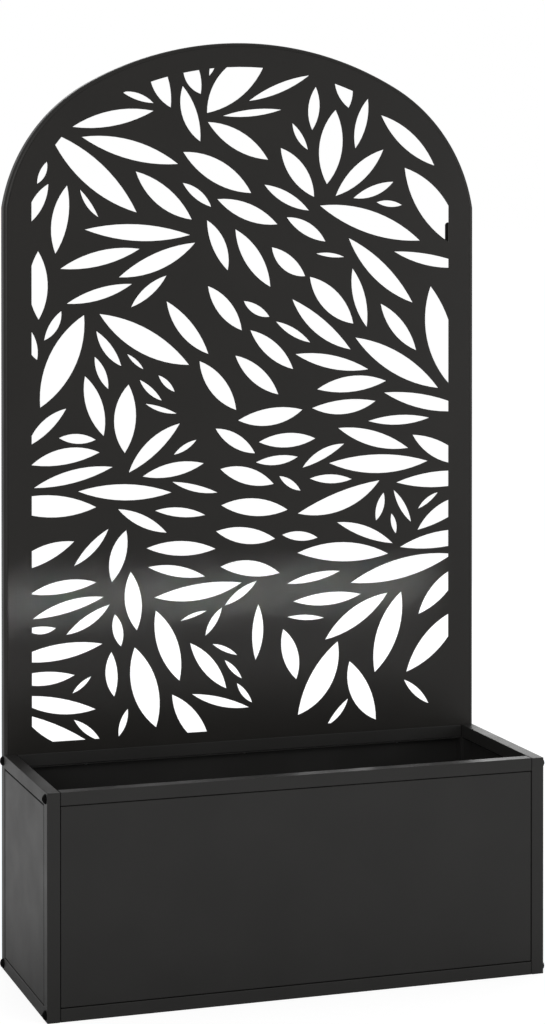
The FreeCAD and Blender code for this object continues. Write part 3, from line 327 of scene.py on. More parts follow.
class Graph:
    """The nodes of a material or of the surroundings, with short ways to add and join them."""

    def __init__(self, holder: bpy.types.Material | bpy.types.World) -> None:
        """Starts with no nodes.

        Args:
            holder: What the nodes belong to.
        """
        self.holder = holder
        holder.use_nodes = True
        self.tree = holder.node_tree
        self.tree.nodes.clear()

    def add(self, kind: str, **values: object) -> bpy.types.Node:
        """Adds a node and sets its properties and inputs.

        Args:
            kind: The node's type without its ShaderNode prefix.
            **values: Properties by name, or inputs by name with spaces as underscores.

        Returns:
            The new node.
        """
        node = self.tree.nodes.new("ShaderNode" + kind)
        for key, value in values.items():
            if hasattr(node, key):
                setattr(node, key, value)
            else:
                node.inputs[key.replace("_", " ")].default_value = value
        return node

    def join(self, source: Socket, target: Socket) -> None:
        """Links an output to an input."""
        self.tree.links.new(source, target)

    def place(self) -> Socket:
        """The place of a point in the object's own coordinates."""
        return self.add("TexCoord").outputs["Object"]

    def noise(self, noise: Noise) -> Socket:
        """Adds a noise.

        Args:
            noise: Its scale and detail.

        Returns:
            The noise's value.
        """
        node = self.add("TexNoise", Scale=noise.scale, Detail=noise.detail)
        self.join(self.place(), node.inputs["Vector"])
        return node.outputs["Fac"]

    def ranged(self, noise: Noise, low: float, high: float) -> Socket:
        """A noise whose usual span is stretched to a range of values.

        Args:
            noise: The noise.
            low: Value at the low end.
            high: Value at the high end.

        Returns:
            The ranged value.
        """
        node = self.add("MapRange", From_Min=NOISE_LOW, From_Max=NOISE_HIGH, To_Min=low, To_Max=high)
        self.join(self.noise(noise), node.inputs["Value"])
        return node.outputs["Result"]

    def work_out(self, operation: str, *values: Socket | float) -> Socket:
        """Works a value out from others.

        Args:
            operation: What is worked out, by the Math node's name for it.
            *values: Numbers, or outputs that give them.

        Returns:
            The value.
        """
        node = self.add("Math", operation=operation)
        for value, target in zip(values, node.inputs):
            if isinstance(value, Socket):
                self.join(value, target)
            else:
                target.default_value = value
        return node.outputs["Value"]

    def mixed(self, share: Socket, low: Colour, high: Colour) -> Socket:
        """A colour between two colours.

        Args:
            share: How far it lies towards the second colour.
            low: The first colour.
            high: The second colour.

        Returns:
            The colour.
        """
        node = self.add("Mix", data_type="RGBA")
        node.inputs[MIX_FIRST].default_value = (*low, 1)
        node.inputs[MIX_SECOND].default_value = (*high, 1)
        self.join(share, node.inputs[MIX_SHARE])
        return node.outputs[MIX_RESULT]

    def scaled(self, colour: Socket, share: Socket) -> Socket:
        """A colour times a value.

        Args:
            colour: The colour.
            share: The value.

        Returns:
            The darker or lighter colour.
        """
        node = self.add("VectorMath", operation="SCALE")
        self.join(colour, node.inputs["Vector"])
        self.join(share, node.inputs["Scale"])
        return node.outputs["Vector"]

    def across(self, joint: PaintedJointShade, before: float, after: float) -> Socket:
        """A value that passes into another one towards a joint.

        Args:
            joint: The joint.
            before: The value where the joint's change starts and before it.
            after: The value where the change ends and beyond it.

        Returns:
            The value.
        """
        split = self.add("SeparateXYZ")
        self.join(self.place(), split.inputs["Vector"])
        node = self.add("MapRange", From_Min=joint.start, From_Max=joint.end, To_Min=before, To_Max=after)
        self.join(split.outputs[joint.axis.value], node.inputs["Value"])
        return node.outputs["Result"]

    def bumped(self, noise: Noise, depth: float, before: Socket | None = None) -> Socket:
        """A bump from a noise.

        Args:
            noise: The noise that gives its height.
            depth: Metres between its lowest and highest value.
            before: The normal of a coarser bump that this one lies on.

        Returns:
            The normal.
        """
        node = self.add("Bump", Strength=1.0, Distance=depth)
        self.join(self.noise(noise), node.inputs["Height"])
        if before is not None:
            self.join(before, node.inputs["Normal"])
        return node.outputs["Normal"]

    def by_ray(self, other: float, seen: float, gloss: float) -> Socket:
        """A value that depends on what kind of ray meets the surface.

        It is the first value, plus the difference to the second one for rays from the camera and through
        glass, plus the difference to the third one for rays from gloss.

        Args:
            other: The value for light on matt surfaces.
            seen: The value for the camera and through glass.
            gloss: The value in gloss.

        Returns:
            The value.
        """
        path = self.add("LightPath")
        direct = self.work_out("MAXIMUM", path.outputs["Is Camera Ray"], path.outputs["Is Transmission Ray"])
        total = self.work_out("MULTIPLY_ADD", direct, seen - other, other)
        return self.work_out("MULTIPLY_ADD", path.outputs["Is Glossy Ray"], gloss - other, total)

    def close(self, shader: bpy.types.Node) -> bpy.types.Material | bpy.types.World:
        """Joins a shader to the output.

        Args:
            shader: The shader or light that covers the surface.

        Returns:
            What the nodes belong to.
        """
        kind = "OutputWorld" if isinstance(self.holder, bpy.types.World) else "OutputMaterial"
        self.join(shader.outputs[0], self.add(kind).inputs["Surface"])
        return self.holder


@dataclass(frozen=True)
class PowderCoat:
    """Satin powder coat on steel: fine orange peel, faint clouds of gloss and a trace of lighter grain.

    Attributes:
        name: Name of the material.
        colour: Linear colour of the coat.
        roughness: Middle of the roughness.
        gloss: Level of the mirror part, where 0.5 is the usual 4 percent.
        wave: Height in metres of the sheet's slow waves.
        peel: Height in metres of the orange peel.
        joints: The joints towards which the colour gets painted shade and the roughness goes up.
        tone: Share by which the colour gets darker and lighter.
        spread: How far the roughness goes up and down.
        grain_share: Share of the grain in the colour's change; the clouds have the rest.
        painted_shade_share: Share of the colour that is left in a joint's painted shade.
        joint_dull: Roughness that is added there.
        grain: The grain's noise.
        cloud: The noise of the clouds of colour.
        patch: The noise of the patches of gloss.
        swell: The noise of the slow waves.
        dimple: The noise of the orange peel.
    """

    name: str
    colour: Colour = (0.0202, 0.0197, 0.0188)
    roughness: float = 0.42
    gloss: float = 0.30
    wave: float = 0.0
    peel: float = 0.000012
    joints: tuple[PaintedJointShade, ...] = ()
    tone: float = 0.14
    spread: float = 0.035
    grain_share: float = 0.35
    painted_shade_share: float = 0.03
    joint_dull: float = 0.5
    grain: Noise = Noise(2600, 2)
    cloud: Noise = Noise(7, 3)
    patch: Noise = Noise(16, 4)
    swell: Noise = Noise(4.5, 0)
    dimple: Noise = Noise(620, 2)

    def material(self) -> bpy.types.Material:
        """Builds the node material.

        The colour follows the grain and the clouds, the roughness follows the patches, and in a joint the
        colour darkens as painted shade while the roughness goes up. The normal comes from the orange peel on
        the slow waves.

        Returns:
            The material.
        """
        graph = Graph(bpy.data.materials.new(self.name))
        shader = graph.add("BsdfPrincipled", Metallic=0.0, IOR=1.5, Specular_IOR_Level=self.gloss)
        grain = graph.ranged(self.grain, 0, 1)
        cloud = graph.ranged(self.cloud, 0, 1 - self.grain_share)
        share = graph.work_out("MULTIPLY_ADD", grain, self.grain_share, cloud)
        dark = tuple((1 - self.tone) * part for part in self.colour)
        light = tuple((1 + self.tone) * part for part in self.colour)
        colour = graph.mixed(share, dark, light)
        rough = graph.ranged(self.patch, self.roughness - self.spread, self.roughness + self.spread)
        # Painted shade: the colour darkens towards each joint between parts, and the roughness goes up there.
        for joint in self.joints:
            colour = graph.scaled(colour, graph.across(joint, 1.0, self.painted_shade_share))
            rough = graph.work_out("ADD", rough, graph.across(joint, 0.0, self.joint_dull))
        normal = graph.bumped(self.swell, self.wave) if self.wave > 0 else None
        graph.join(colour, shader.inputs["Base Color"])
        graph.join(rough, shader.inputs["Roughness"])
        graph.join(graph.bumped(self.dimple, self.peel, normal), shader.inputs["Normal"])
        return graph.close(shader)


@dataclass(frozen=True)
class PlatedSteel:
    """Zinc-plated steel with a fine turned grain and patches of duller plating.

    Attributes:
        name: Name of the material.
        colour: Linear colour of the metal.
        dull: Share of the colour that the duller plating has.
        roughness: Lowest and highest roughness.
        grain_high: Height in metres of the grain.
        patch: The noise of the patches.
        smear: The noise of the roughness.
        grain: The grain's noise.
    """

    name: str
    colour: Colour = (0.56, 0.57, 0.58)
    dull: float = 0.72
    roughness: tuple[float, float] = (0.26, 0.44)
    grain_high: float = 0.000006
    patch: Noise = Noise(240, 4)
    smear: Noise = Noise(420, 3)
    grain: Noise = Noise(1900, 2)

    def material(self) -> bpy.types.Material:
        """Builds the node material.

        Returns:
            The material.
        """
        graph = Graph(bpy.data.materials.new(self.name))
        shader = graph.add("BsdfPrincipled", Metallic=1.0)
        dull = tuple(self.dull * part for part in self.colour)
        colour = graph.mixed(graph.ranged(self.patch, 0, 1), dull, self.colour)
        graph.join(colour, shader.inputs["Base Color"])
        graph.join(graph.ranged(self.smear, *self.roughness), shader.inputs["Roughness"])
        graph.join(graph.bumped(self.grain, self.grain_high), shader.inputs["Normal"])
        return graph.close(shader)


class Finishes:
    """The materials of the part, each made once."""

    def __init__(self, rail_end_shades: tuple[PaintedJointShade, ...], panel_edge_shades: tuple[PaintedJointShade, ...]) -> None:
        """Makes all the materials.

        Args:
            rail_end_shades: The painted shade at the joints at the ends of a rail.
            panel_edge_shades: The painted shade at the joints round an end panel.
        """
        wave = 0.00005
        self.tube = PowderCoat("coat_on_tube").material()
        # The rails and the end panels get painted shade towards their joints.
        self.rail = PowderCoat("coat_on_rail", joints=rail_end_shades).material()
        self.panel = PowderCoat("coat_on_panel", wave=wave).material()
        self.end_panel = PowderCoat("coat_on_end_panel", wave=wave, joints=panel_edge_shades).material()
        self.screen = PowderCoat("coat_on_screen", colour=(0.0117, 0.0106, 0.0091), wave=0.00004).material()
        self.inside = PowderCoat("coat_on_inside", roughness=0.5).material()
        self.bolt = PowderCoat(
            "black_bolt_coat", colour=(0.002, 0.002, 0.002), roughness=0.5, gloss=0.03, peel=0.000004
        ).material()
        self.steel = PlatedSteel("zinc_plated_steel").material()


def dress(material: bpy.types.Material, *nodes: str) -> None:
    """Gives nodes that stay their material.

    Args:
        material: What they are covered with.
        *nodes: Names of the nodes.
    """
    for node in nodes:
        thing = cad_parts[node]
        if not thing.material_slots:
            thing.data.materials.append(material)
        for place in thing.material_slots:
            place.material = material
        LOG.info("%s: dressed with %s", node, material.name)


# Fasteners


@dataclass(frozen=True)
class DomedScrew:
    """A screw with a domed head and a driver's recess, standing on its seat at the origin.

    Attributes:
        head_radius: Outside of the head.
        head_high: Height of the head.
        edge_high: Height of the short upright edge under the dome.
        shank_radius: Radius of the shank.
        shank_long: Length of the shank.
        recess_radius: Corner radius of the recess.
        recess_deep: Depth of the recess.
        drive: Form of the recess.
        around: Steps round the screw.
        lobe: Height of the lobes' waves, share of the recess's radius.
        lip: Width of the turned edge of the recess, share of its radius.
        clear: How far the dome's rings stay outside the recess, share of its radius.
        dome_shares: Rings over the dome, shares of the head's radius.
    """

    head_radius: float
    head_high: float
    edge_high: float
    shank_radius: float
    shank_long: float
    recess_radius: float
    recess_deep: float
    drive: Drive
    around: int = 48
    lobe: float = 0.14
    lip: float = 0.05
    clear: float = 1.15
    dome_shares: tuple[float, ...] = (0.985, 0.95, 0.88, 0.79, 0.68, 0.57)

    def recess(self, angle: np.ndarray) -> np.ndarray:
        """Radius of the recess at each angle: a hexagon, or a circle with six waves.

        Args:
            angle: Angles round the screw.

        Returns:
            The radii.
        """
        if self.drive is Drive.LOBES:
            return self.recess_radius * (1 - self.lobe + self.lobe * np.cos(6 * angle))
        return hexagon(angle, self.recess_radius)

    def dome(self, radius: np.ndarray | float) -> np.ndarray | float:
        """Height of the dome at a radius.

        The dome is part of a ball: height is the root of ball radius squared less radius squared, less the
        depth at which the ball's middle lies.

        Args:
            radius: One radius or several.

        Returns:
            The heights.
        """
        crown = self.head_high - self.edge_high
        ball = (self.head_radius**2 + crown**2) / (2 * crown)
        return np.sqrt(ball**2 - radius**2) - (ball - crown) + self.edge_high

    def surface(self) -> Surface:
        """Rings from the tip of the shank up round the head and down into the recess.

        Returns:
            The corners and the faces.
        """
        chamfer = self.shank_radius / 4
        lip = self.recess_radius * self.lip
        hole = self.recess(steps_round(self.around))
        floor = self.head_high - self.recess_deep
        radii = [share * self.head_radius for share in self.dome_shares]
        outline = [
            (self.shank_radius - chamfer, -self.shank_long),
            (self.shank_radius, chamfer - self.shank_long),
            (self.shank_radius, 0.0),
            (self.head_radius - self.edge_high / 4, 0.0),
            (self.head_radius, self.edge_high / 3),
            (self.head_radius, self.edge_high),
            *((radius, self.dome(radius)) for radius in radii if radius > self.recess_radius * self.clear),
            (hole + lip, self.dome(hole + lip)),
            (hole, self.dome(hole) - lip),
            (hole, floor),
            (hole / 2, floor - lip),
        ]
        return ring_solid(rings_round(outline, self.around))


@dataclass(frozen=True)
class SixSided:
    """The six sides that a bolt's head and a nut share, with their corners turned off on a cone.

    Attributes:
        corner_radius: Radius over the corners.
        high: Height of the sides.
        inner_radius: Radius of the bolt's shank or of the nut's bore.
        flat_share: Radius of the round flat on top, share of the distance of a side.
        cone: Degrees by which the turned-off corners fall away.
        around: Steps round it.
    """

    corner_radius: float = 0.00577
    high: float = 0.004
    inner_radius: float = 0.003
    flat_share: float = 0.94
    cone: float = 30.0
    around: int = 48

    def outline(self) -> tuple[np.ndarray, float, np.ndarray]:
        """The sides, the round flat on top, and how far the sides' edge lies under it.

        That drop is the cone's tangent times how far a side stands out beyond the flat.

        Returns:
            The sides' radius at each step, the flat's radius and the drop at each step.
        """
        sides = hexagon(steps_round(self.around), self.corner_radius)
        flat = self.corner_radius * math.cos(math.pi / 6) * self.flat_share
        return sides, flat, (sides - flat) * math.tan(math.radians(self.cone))


@dataclass(frozen=True)
class HexagonBolt(SixSided):
    """A bolt with a six-sided head, standing on its seat at the origin.

    Attributes:
        shank_long: Length of the shank.
    """

    shank_long: float = 0.014

    def surface(self) -> Surface:
        """Rings from the tip of the shank up the six sides to the top.

        Returns:
            The corners and the faces.
        """
        sides, flat, drop = self.outline()
        chamfer = self.inner_radius / 4
        outline = [
            (self.inner_radius - chamfer, -self.shank_long),
            (self.inner_radius, chamfer - self.shank_long),
            (self.inner_radius, 0.0),
            (sides, 0.0),
            (sides, self.high - drop),
            (flat, self.high),
            (flat / 2, self.high),
        ]
        return ring_solid(rings_round(outline, self.around))


@dataclass(frozen=True)
class HexagonNut(SixSided):
    """A six-sided nut with a plain bore, standing on the origin.

    Attributes:
        high: Height of the nut.
    """

    high: float = 0.005

    def surface(self) -> Surface:
        """Rings round its section: the bore, the underside, the six sides and the top.

        Returns:
            The corners and the faces.
        """
        sides, flat, drop = self.outline()
        outline = [
            (self.inner_radius, 0.0),
            (flat, 0.0),
            (sides, drop),
            (sides, self.high - drop),
            (flat, self.high),
            (self.inner_radius, self.high),
        ]
        return closed_loop(rings_round(outline, self.around))


@dataclass(frozen=True)
class Washer:
    """A flat washer with rounded outer edges.

    Attributes:
        bore: Radius of its hole.
        radius: Outside radius.
        thick: Thickness.
        around: Steps round the washer.
    """

    bore: float
    radius: float
    thick: float
    around: int = 48

    def surface(self) -> Surface:
        """Rings round its section: the bore, the underside, the rounded edge and the top.

        Returns:
            The corners and the faces.
        """
        soft = self.thick / 4
        outline = [
            (self.bore, 0.0),
            (self.radius - soft, 0.0),
            (self.radius, soft),
            (self.radius, self.thick - soft),
            (self.radius - soft, self.thick),
            (self.bore, self.thick),
        ]
        return closed_loop(rings_round(outline, self.around))


CORNER_BOLT = DomedScrew(
    head_radius=0.0075,
    head_high=0.0052,
    edge_high=0.0009,
    shank_radius=0.004,
    shank_long=0.040,
    recess_radius=0.0029,
    recess_deep=0.0028,
    drive=Drive.HEXAGON,
)

PANEL_SCREW = DomedScrew(
    head_radius=0.0036,
    head_high=0.0019,
    edge_high=0.0005,
    shank_radius=0.002,
    shank_long=0.007,
    recess_radius=0.0016,
    recess_deep=0.0012,
    drive=Drive.LOBES,
    around=24,
)


def fasten(node: str, kind: DomedScrew, seats: list[Seat], slot: Slot, material: bpy.types.Material) -> None:
    """Makes a set of equal screws in one piece that stands for a node.

    Args:
        node: The node that it stands for.
        kind: The screw.
        seats: Where each head sits and where it looks.
        slot: The material slot.
        material: The finish.
    """
    points, faces = kind.surface()
    parts = [(turned(points, axis, place), faces) for place, axis in seats]
    make_piece(node + "_turned", gathered(parts), slot, material, node)


# Box


@dataclass
class BoxPlanter:
    """The box: end frames, rails, folded panels, floor, and what holds them together.

    Attributes:
        half_width: Half of the width.
        half_depth: Half of the depth.
        high: Height of the box.
        tube: Side of the square tube.
        recess: How far a panel's face lies behind the tube's face.
        gap: Gap between a panel and a tube.
        sheet: Sheet of the panels.
        screw_inset: Distance of a panel screw from the panel's face.
        rail_shares: Places of the screws along a rail, shares of its half.
        post_shares: Places of the screws up a post, shares of the height.
        bar_places: Middles of the floor bars.
        bar_wall: Wall of a floor bar.
        bar_screw_step: Distance of a bar's screws from its middle.
        bar_screw_high: Height of a bar's screws.
        rail_shade_span: How far from its end the painted shade on a rail starts, and where it is darkest.
        top_shade_span: The same from the top edge of an end panel.
        front_shade_span: The same from the front edge of an end panel.
    """

    half_width: float = 0.400
    half_depth: float = 0.150
    high: float = 0.340
    tube: float = 0.020
    recess: float = 0.0006
    gap: float = 0.001
    sheet: float = 0.0012
    screw_inset: float = 0.012
    rail_shares: tuple[float, ...] = (-0.7, 0.0, 0.7)
    post_shares: tuple[float, ...] = (0.3, 0.7)
    bar_places: tuple[float, ...] = (-0.270, 0.0, 0.270)
    bar_wall: float = 0.002
    bar_screw_step: float = 0.008
    bar_screw_high: float = 0.009
    rail_shade_span: tuple[float, float] = (0.0016, 0.0008)
    top_shade_span: tuple[float, float] = (0.0022, 0.0016)
    front_shade_span: tuple[float, float] = (0.0036, 0.0030)

    @property
    def inset(self) -> float:
        """How far the inside of a panel's folded edge lies from the outside of the frame."""
        return self.tube + self.gap + self.sheet

    def rail_end_shades(self) -> tuple[PaintedJointShade, ...]:
        """The painted shade at the joints at both ends of a rail."""
        start, end = (self.half_width - self.tube - away for away in self.rail_shade_span)
        return PaintedJointShade(Axis.X, start, end), PaintedJointShade(Axis.X, -start, -end)

    def panel_edge_shades(self) -> tuple[PaintedJointShade, ...]:
        """The painted shade at the joints over an end panel and along its front edge.

        Returns:
            The two joints.
        """
        top = (self.high - self.tube - self.gap - away for away in self.top_shade_span)
        front = (self.tube + self.gap + away - self.half_depth for away in self.front_shade_span)
        return PaintedJointShade(Axis.Z, *top), PaintedJointShade(Axis.Y, *front)

    def build(self, finishes: Finishes) -> None:
        """Makes the bolts and screws and gives the frame, the panels and the floor their finish.

        Args:
            finishes: The materials of the part.
        """
        steel = Slot.STEEL, finishes.steel
        fasten("corner_bolts", CORNER_BOLT, self.corners(), Slot.BOLT, finishes.bolt)
        fasten("front_panel_screws", PANEL_SCREW, self.long_panel_screws(-1), *steel)
        fasten("back_panel_screws", PANEL_SCREW, self.long_panel_screws(1), *steel)
        fasten("end_panel_screws", PANEL_SCREW, self.end_panel_screws(), *steel)
        fasten("floor_bar_screws", PANEL_SCREW, self.bar_screws(), *steel)
        dress(finishes.tube, "left_end_frame", "right_end_frame")
        dress(finishes.rail, "front_top_rail", "front_bottom_rail", "back_top_rail", "back_bottom_rail")
        dress(finishes.panel, "front_panel", "back_panel")
        dress(finishes.end_panel, "left_end_panel", "right_end_panel")
        dress(finishes.inside, "floor_bar_left", "floor_bar_middle", "floor_bar_right", "floor_tray")
        dress(finishes.steel, "rail_end_plugs")

    def corners(self) -> list[Seat]:
        """Seats of the bolts through the end frames.

        Returns:
            Where each head sits and where it looks.
        """
        middle = self.half_depth - self.tube / 2
        return [
            ((side * self.half_width, y, z), (side, 0, 0))
            for side in (-1, 1)
            for y in (-middle, middle)
            for z in (self.tube / 2, self.high - self.tube / 2)
        ]

    def long_panel_screws(self, side: int) -> list[Seat]:
        """Seats of the screws of the front or back panel.

        Args:
            side: -1 at the front, 1 at the back.

        Returns:
            Where each head sits and where it looks.
        """
        y = side * (self.half_depth - self.recess - self.screw_inset)
        half_rail = self.half_width - self.tube
        inner = self.half_width - self.inset
        seats = [((share * half_rail, y, self.high - self.inset), (0, 0, -1)) for share in self.rail_shares]
        seats += [((share * half_rail, y, self.inset), (0, 0, 1)) for share in self.rail_shares]
        for turn in (-1, 1):
            seats += [((turn * inner, y, self.high * share), (-turn, 0, 0)) for share in self.post_shares]
        return seats

    def end_panel_screws(self) -> list[Seat]:
        """Seats of the screws of both end panels.

        Returns:
            Where each head sits and where it looks.
        """
        inner = self.half_depth - self.inset
        seats = []
        for side in (-1, 1):
            x = side * (self.half_width - self.recess - self.screw_inset)
            seats += [((x, 0, self.high - self.inset), (0, 0, -1)), ((x, 0, self.inset), (0, 0, 1))]
            seats += [((x, turn * inner, self.high / 2), (0, -turn, 0)) for turn in (-1, 1)]
        return seats

    def bar_screws(self) -> list[Seat]:
        """Seats of the screws in the floor bars' ends.

        Returns:
            Where each head sits and where it looks.
        """
        y = self.half_depth - self.tube - self.bar_wall
        return [
            ((middle + step * self.bar_screw_step, side * y, self.bar_screw_high), (0, -side, 0))
            for middle in self.bar_places
            for side in (-1, 1)
            for step in (-1, 1)
        ]


# Screen


@dataclass(frozen=True)
class WeldBead:
    """A short weld bead: a rod that swells and sinks in small ripples and thins out at both ends.

    Attributes:
        radius: Full radius.
        ripple: Height of a ripple, share of the radius.
        pitch: Length of a ripple.
        reach: How far the first and last ring lie from the middle, share of half the length.
        rows: Rings along it.
        around: Steps round it.
    """

    radius: float = 0.0011
    ripple: float = 0.10
    pitch: float = 0.0022
    reach: float = 0.985
    rows: int = 37
    around: int = 10

    def surface(self, start: Point, end: Point) -> Surface:
        """The bead from one point to another.

        Its radius is the full radius times the fourth root of one less the fourth power of how far a point
        lies from the middle, times one plus a small sine wave.

        Args:
            start: First end.
            end: Second end.

        Returns:
            The corners and the faces.
        """
        first, last = np.asarray(start, float), np.asarray(end, float)
        length = float(np.linalg.norm(last - first))
        share = np.linspace(-self.reach, self.reach, self.rows)
        ripples = 1 + self.ripple * np.sin(math.pi * share * length / self.pitch)
        radius = self.radius * (1 - share**4) ** 0.25 * ripples
        outline = list(zip(radius, share * length / 2))
        points, faces = ring_solid(rings_round(outline, self.around))
        return turned(points, tuple(last - first), tuple((first + last) / 2)), faces


@dataclass(frozen=True)
class Stitches:
    """The rows of short welds behind the sheet.

    Attributes:
        bead: Form of a weld.
        long: Length of a weld along the rim.
        step: Distance from one weld along the rim to the next.
        from_foot: Where the first one on an upright starts, above the box.
        to_spring: How far under the spring of the arch the last one may start.
        in_arch: How far from both springs the arch stays without welds.
        tab_long: Length of a weld along a wall tab.
        tab_inset: Distance of such a weld from the tab's end.
        foot_long: Length of a weld along the foot angle.
        foot_step: Distance from one of those to the next.
        foot_half: How far from the middle they reach.
        path_steps: Points over a shoulder and over the crown of the line along the arch.
    """

    bead: WeldBead = WeldBead()
    long: float = 0.022
    step: float = 0.105
    from_foot: float = 0.06
    to_spring: float = 0.05
    in_arch: float = 0.04
    tab_long: float = 0.012
    tab_inset: float = 0.003
    foot_long: float = 0.02
    foot_step: float = 0.09
    foot_half: float = 0.36
    path_steps: tuple[int, int] = (120, 300)


@dataclass
class ArchedScreen:
    """The leaf sheet with the folded rim round it, its foot and its wall tabs.

    Attributes:
        half_width: Half of the width.
        foot: Height at which it stands on the box.
        crown: Height of the top of the arch.
        haunch_radius: Radius of the arch over a shoulder.
        haunch_x: Middle of that radius from the middle line.
        haunch_z: Height of that middle.
        face_y: Where the face of the sheet lies.
        deep: Depth of the rim.
        wall: Sheet of the rim.
        nose: Outside radius of the rim's front edge.
        nose_steps: Points round that edge.
        edge: Rounding of the rim's raw edges.
        upright_steps: Points up an upright of the rim.
        arch_steps: Points over a shoulder and over the crown of the rim.
        seam: Distance of the seam between sheet and rim from the outline.
        seam_half: Half of the width of the sealer behind it.
        seam_near: How far the sealer dips into the sheet.
        seam_far: How far it stands out behind the sheet.
        seam_soft: How far its back corners are drawn in.
        seam_steps: Points of the sealer up an upright.
        foot_bolt_places: Places of the foot bolts along the width.
        foot_bolt_y: Where the foot bolts stand.
        foot_sheet: Sheet of the foot angle.
        foot_up: Height of its upright leg.
        washer: Washers under the foot bolts.
        bolt: The foot bolts.
        nut: Their nuts.
        nut_base: Underside of the nuts.
        tab_low: Underside of the wall tabs.
        tab_high: Height of the wall tabs.
        tab_front: Front edge of the leg of a wall tab.
        stitches: The welds.
    """

    half_width: float = 0.400
    foot: float = 0.340
    crown: float = 1.470
    haunch_radius: float = 0.2776
    haunch_x: float = 0.1258
    haunch_z: float = 1.1593
    face_y: float = 0.130
    deep: float = 0.020
    wall: float = 0.0015
    nose: float = 0.006
    nose_steps: int = 14
    edge: float = 0.0003
    upright_steps: int = 40
    arch_steps: tuple[int, int] = (56, 140)
    seam: float = 0.0062
    seam_half: float = 0.0014
    seam_near: float = 0.0001
    seam_far: float = 0.0006
    seam_soft: float = 0.0004
    seam_steps: int = 30
    foot_bolt_places: tuple[float, ...] = (-0.330, -0.130, 0.130, 0.330)
    foot_bolt_y: float = 0.1425
    foot_sheet: float = 0.002
    foot_up: float = 0.012
    washer: Washer = Washer(bore=0.0033, radius=0.006, thick=0.0016)
    bolt: HexagonBolt = HexagonBolt()
    nut: HexagonNut = HexagonNut()
    nut_base: float = 0.3335
    tab_low: float = 1.139
    tab_high: float = 0.040
    tab_front: float = 0.137
    stitches: Stitches = Stitches()

    @property
    def rise(self) -> float:
        """Height of the crown above the middles of the shoulders."""
        return self.crown - self.haunch_z

    @property
    def crown_radius(self) -> float:
        """Radius of the crown's arc, which meets the shoulders' arcs in line with them."""
        spare = self.haunch_x**2 + self.rise**2 - self.haunch_radius**2
        return spare / (2 * (self.rise - self.haunch_radius))

    @property
    def spring_angle(self) -> float:
        """Angle at which a shoulder's arc starts on the upright."""
        return math.acos((self.half_width - self.haunch_x) / self.haunch_radius)

    @property
    def spring_z(self) -> float:
        """Height at which the arch starts."""
        return self.haunch_z + self.haunch_radius * math.sin(self.spring_angle)

    def build(self, finishes: Finishes) -> None:
        """Makes the rim, the foot's fasteners and the welds, and gives the sheet and the foot their finish.

        Args:
            finishes: The materials of the part.
        """
        coat = Slot.COAT, finishes.screen
        steel = finishes.steel
        for side, word in ((-1, "left"), (1, "right")):
            upright = self.swept(*self.upright_path(side, self.upright_steps))
            make_piece(f"rim_upright_{word}", upright, *coat, f"screen_rim_{word}")
        arch = self.swept(*self.arch_path(*self.arch_steps))
        make_piece("rim_over_the_arch", arch, *coat, "screen_rim_arch")
        dress(finishes.screen, "screen_sheet")
        dress(finishes.tube, "screen_foot", "wall_bracket_left", "wall_bracket_right")
        base = self.foot + self.foot_sheet
        self.set_down("foot_washers_round", "screen_foot_washers", self.washer, base, steel)
        self.set_down("foot_bolts_six_sided", "screen_foot_bolts", self.bolt, base + self.washer.thick, steel)
        self.set_down("foot_nuts_six_sided", "screen_foot_nuts", self.nut, self.nut_base, steel)
        make_piece("stitch_welds", self.stitch_welds(), *coat)
        make_piece("sealed_seam", self.sealed_seam(), *coat)

    def arch_path(self, shoulder_steps: int, crown_steps: int) -> tuple[np.ndarray, np.ndarray]:
        """Points of the arch's outline from the right spring to the left one, and the ways inwards.

        Each arc is its middle plus radius times cosine and sine of the angle, and the way inwards is the
        reverse of that cosine and sine. At both springs the way inwards is the mitre with the upright.

        Args:
            shoulder_steps: Points over each shoulder.
            crown_steps: Points over the crown.

        Returns:
            Points and ways inwards, each as rows of x and z.
        """
        crown_z = self.crown - self.crown_radius
        meet = math.atan2(self.haunch_z - crown_z, self.haunch_x)
        shoulder = np.linspace(self.spring_angle, meet, shoulder_steps)
        top = np.linspace(meet, math.pi - meet, crown_steps)[1:-1]
        angle = np.concatenate([shoulder, top, math.pi - shoulder[::-1]])
        counts = [shoulder_steps, len(top), shoulder_steps]
        radius = np.repeat([self.haunch_radius, self.crown_radius, self.haunch_radius], counts)
        middle_x = np.repeat([self.haunch_x, 0.0, -self.haunch_x], counts)
        middle_z = np.repeat([self.haunch_z, crown_z, self.haunch_z], counts)
        out = np.stack([np.cos(angle), np.sin(angle)], axis=1)
        points = np.stack([middle_x, middle_z], axis=1) + radius[:, None] * out
        inward = -out
        inward[0] = self.mitre(1)
        inward[-1] = self.mitre(-1)
        return points, inward

    def mitre(self, side: int) -> np.ndarray:
        """The way inwards in the mitre between an upright and the arch.

        It is the sum of both ways inwards over one plus their product.

        Args:
            side: -1 on the left, 1 on the right.

        Returns:
            Its x and z.
        """
        level = np.array([-side, 0.0])
        sloped = -np.array([side * math.cos(self.spring_angle), math.sin(self.spring_angle)])
        return (level + sloped) / (1 + level @ sloped)

    def upright_path(self, side: int, steps: int) -> tuple[np.ndarray, np.ndarray]:
        """Points of one upright from the box to the spring, and the ways inwards.

        Args:
            side: -1 on the left, 1 on the right.
            steps: Points along it.

        Returns:
            Points and ways inwards, each as rows of x and z.
        """
        z = np.linspace(self.foot, self.spring_z, steps)
        points = np.stack([np.full(steps, side * self.half_width), z], axis=1)
        inward = np.tile(np.array([-side, 0.0]), (steps, 1))
        inward[-1] = self.mitre(side)
        return points, inward

    def nose_arc(self, radius: float) -> np.ndarray:
        """A quarter circle round the middle of the rim's nose.

        Args:
            radius: Its radius.

        Returns:
            Rows of inset and depth, from the flange to the face.
        """
        turn = np.linspace(0, math.pi / 2, self.nose_steps)
        return self.nose - radius * np.stack([np.cos(turn), np.sin(turn)], axis=1)

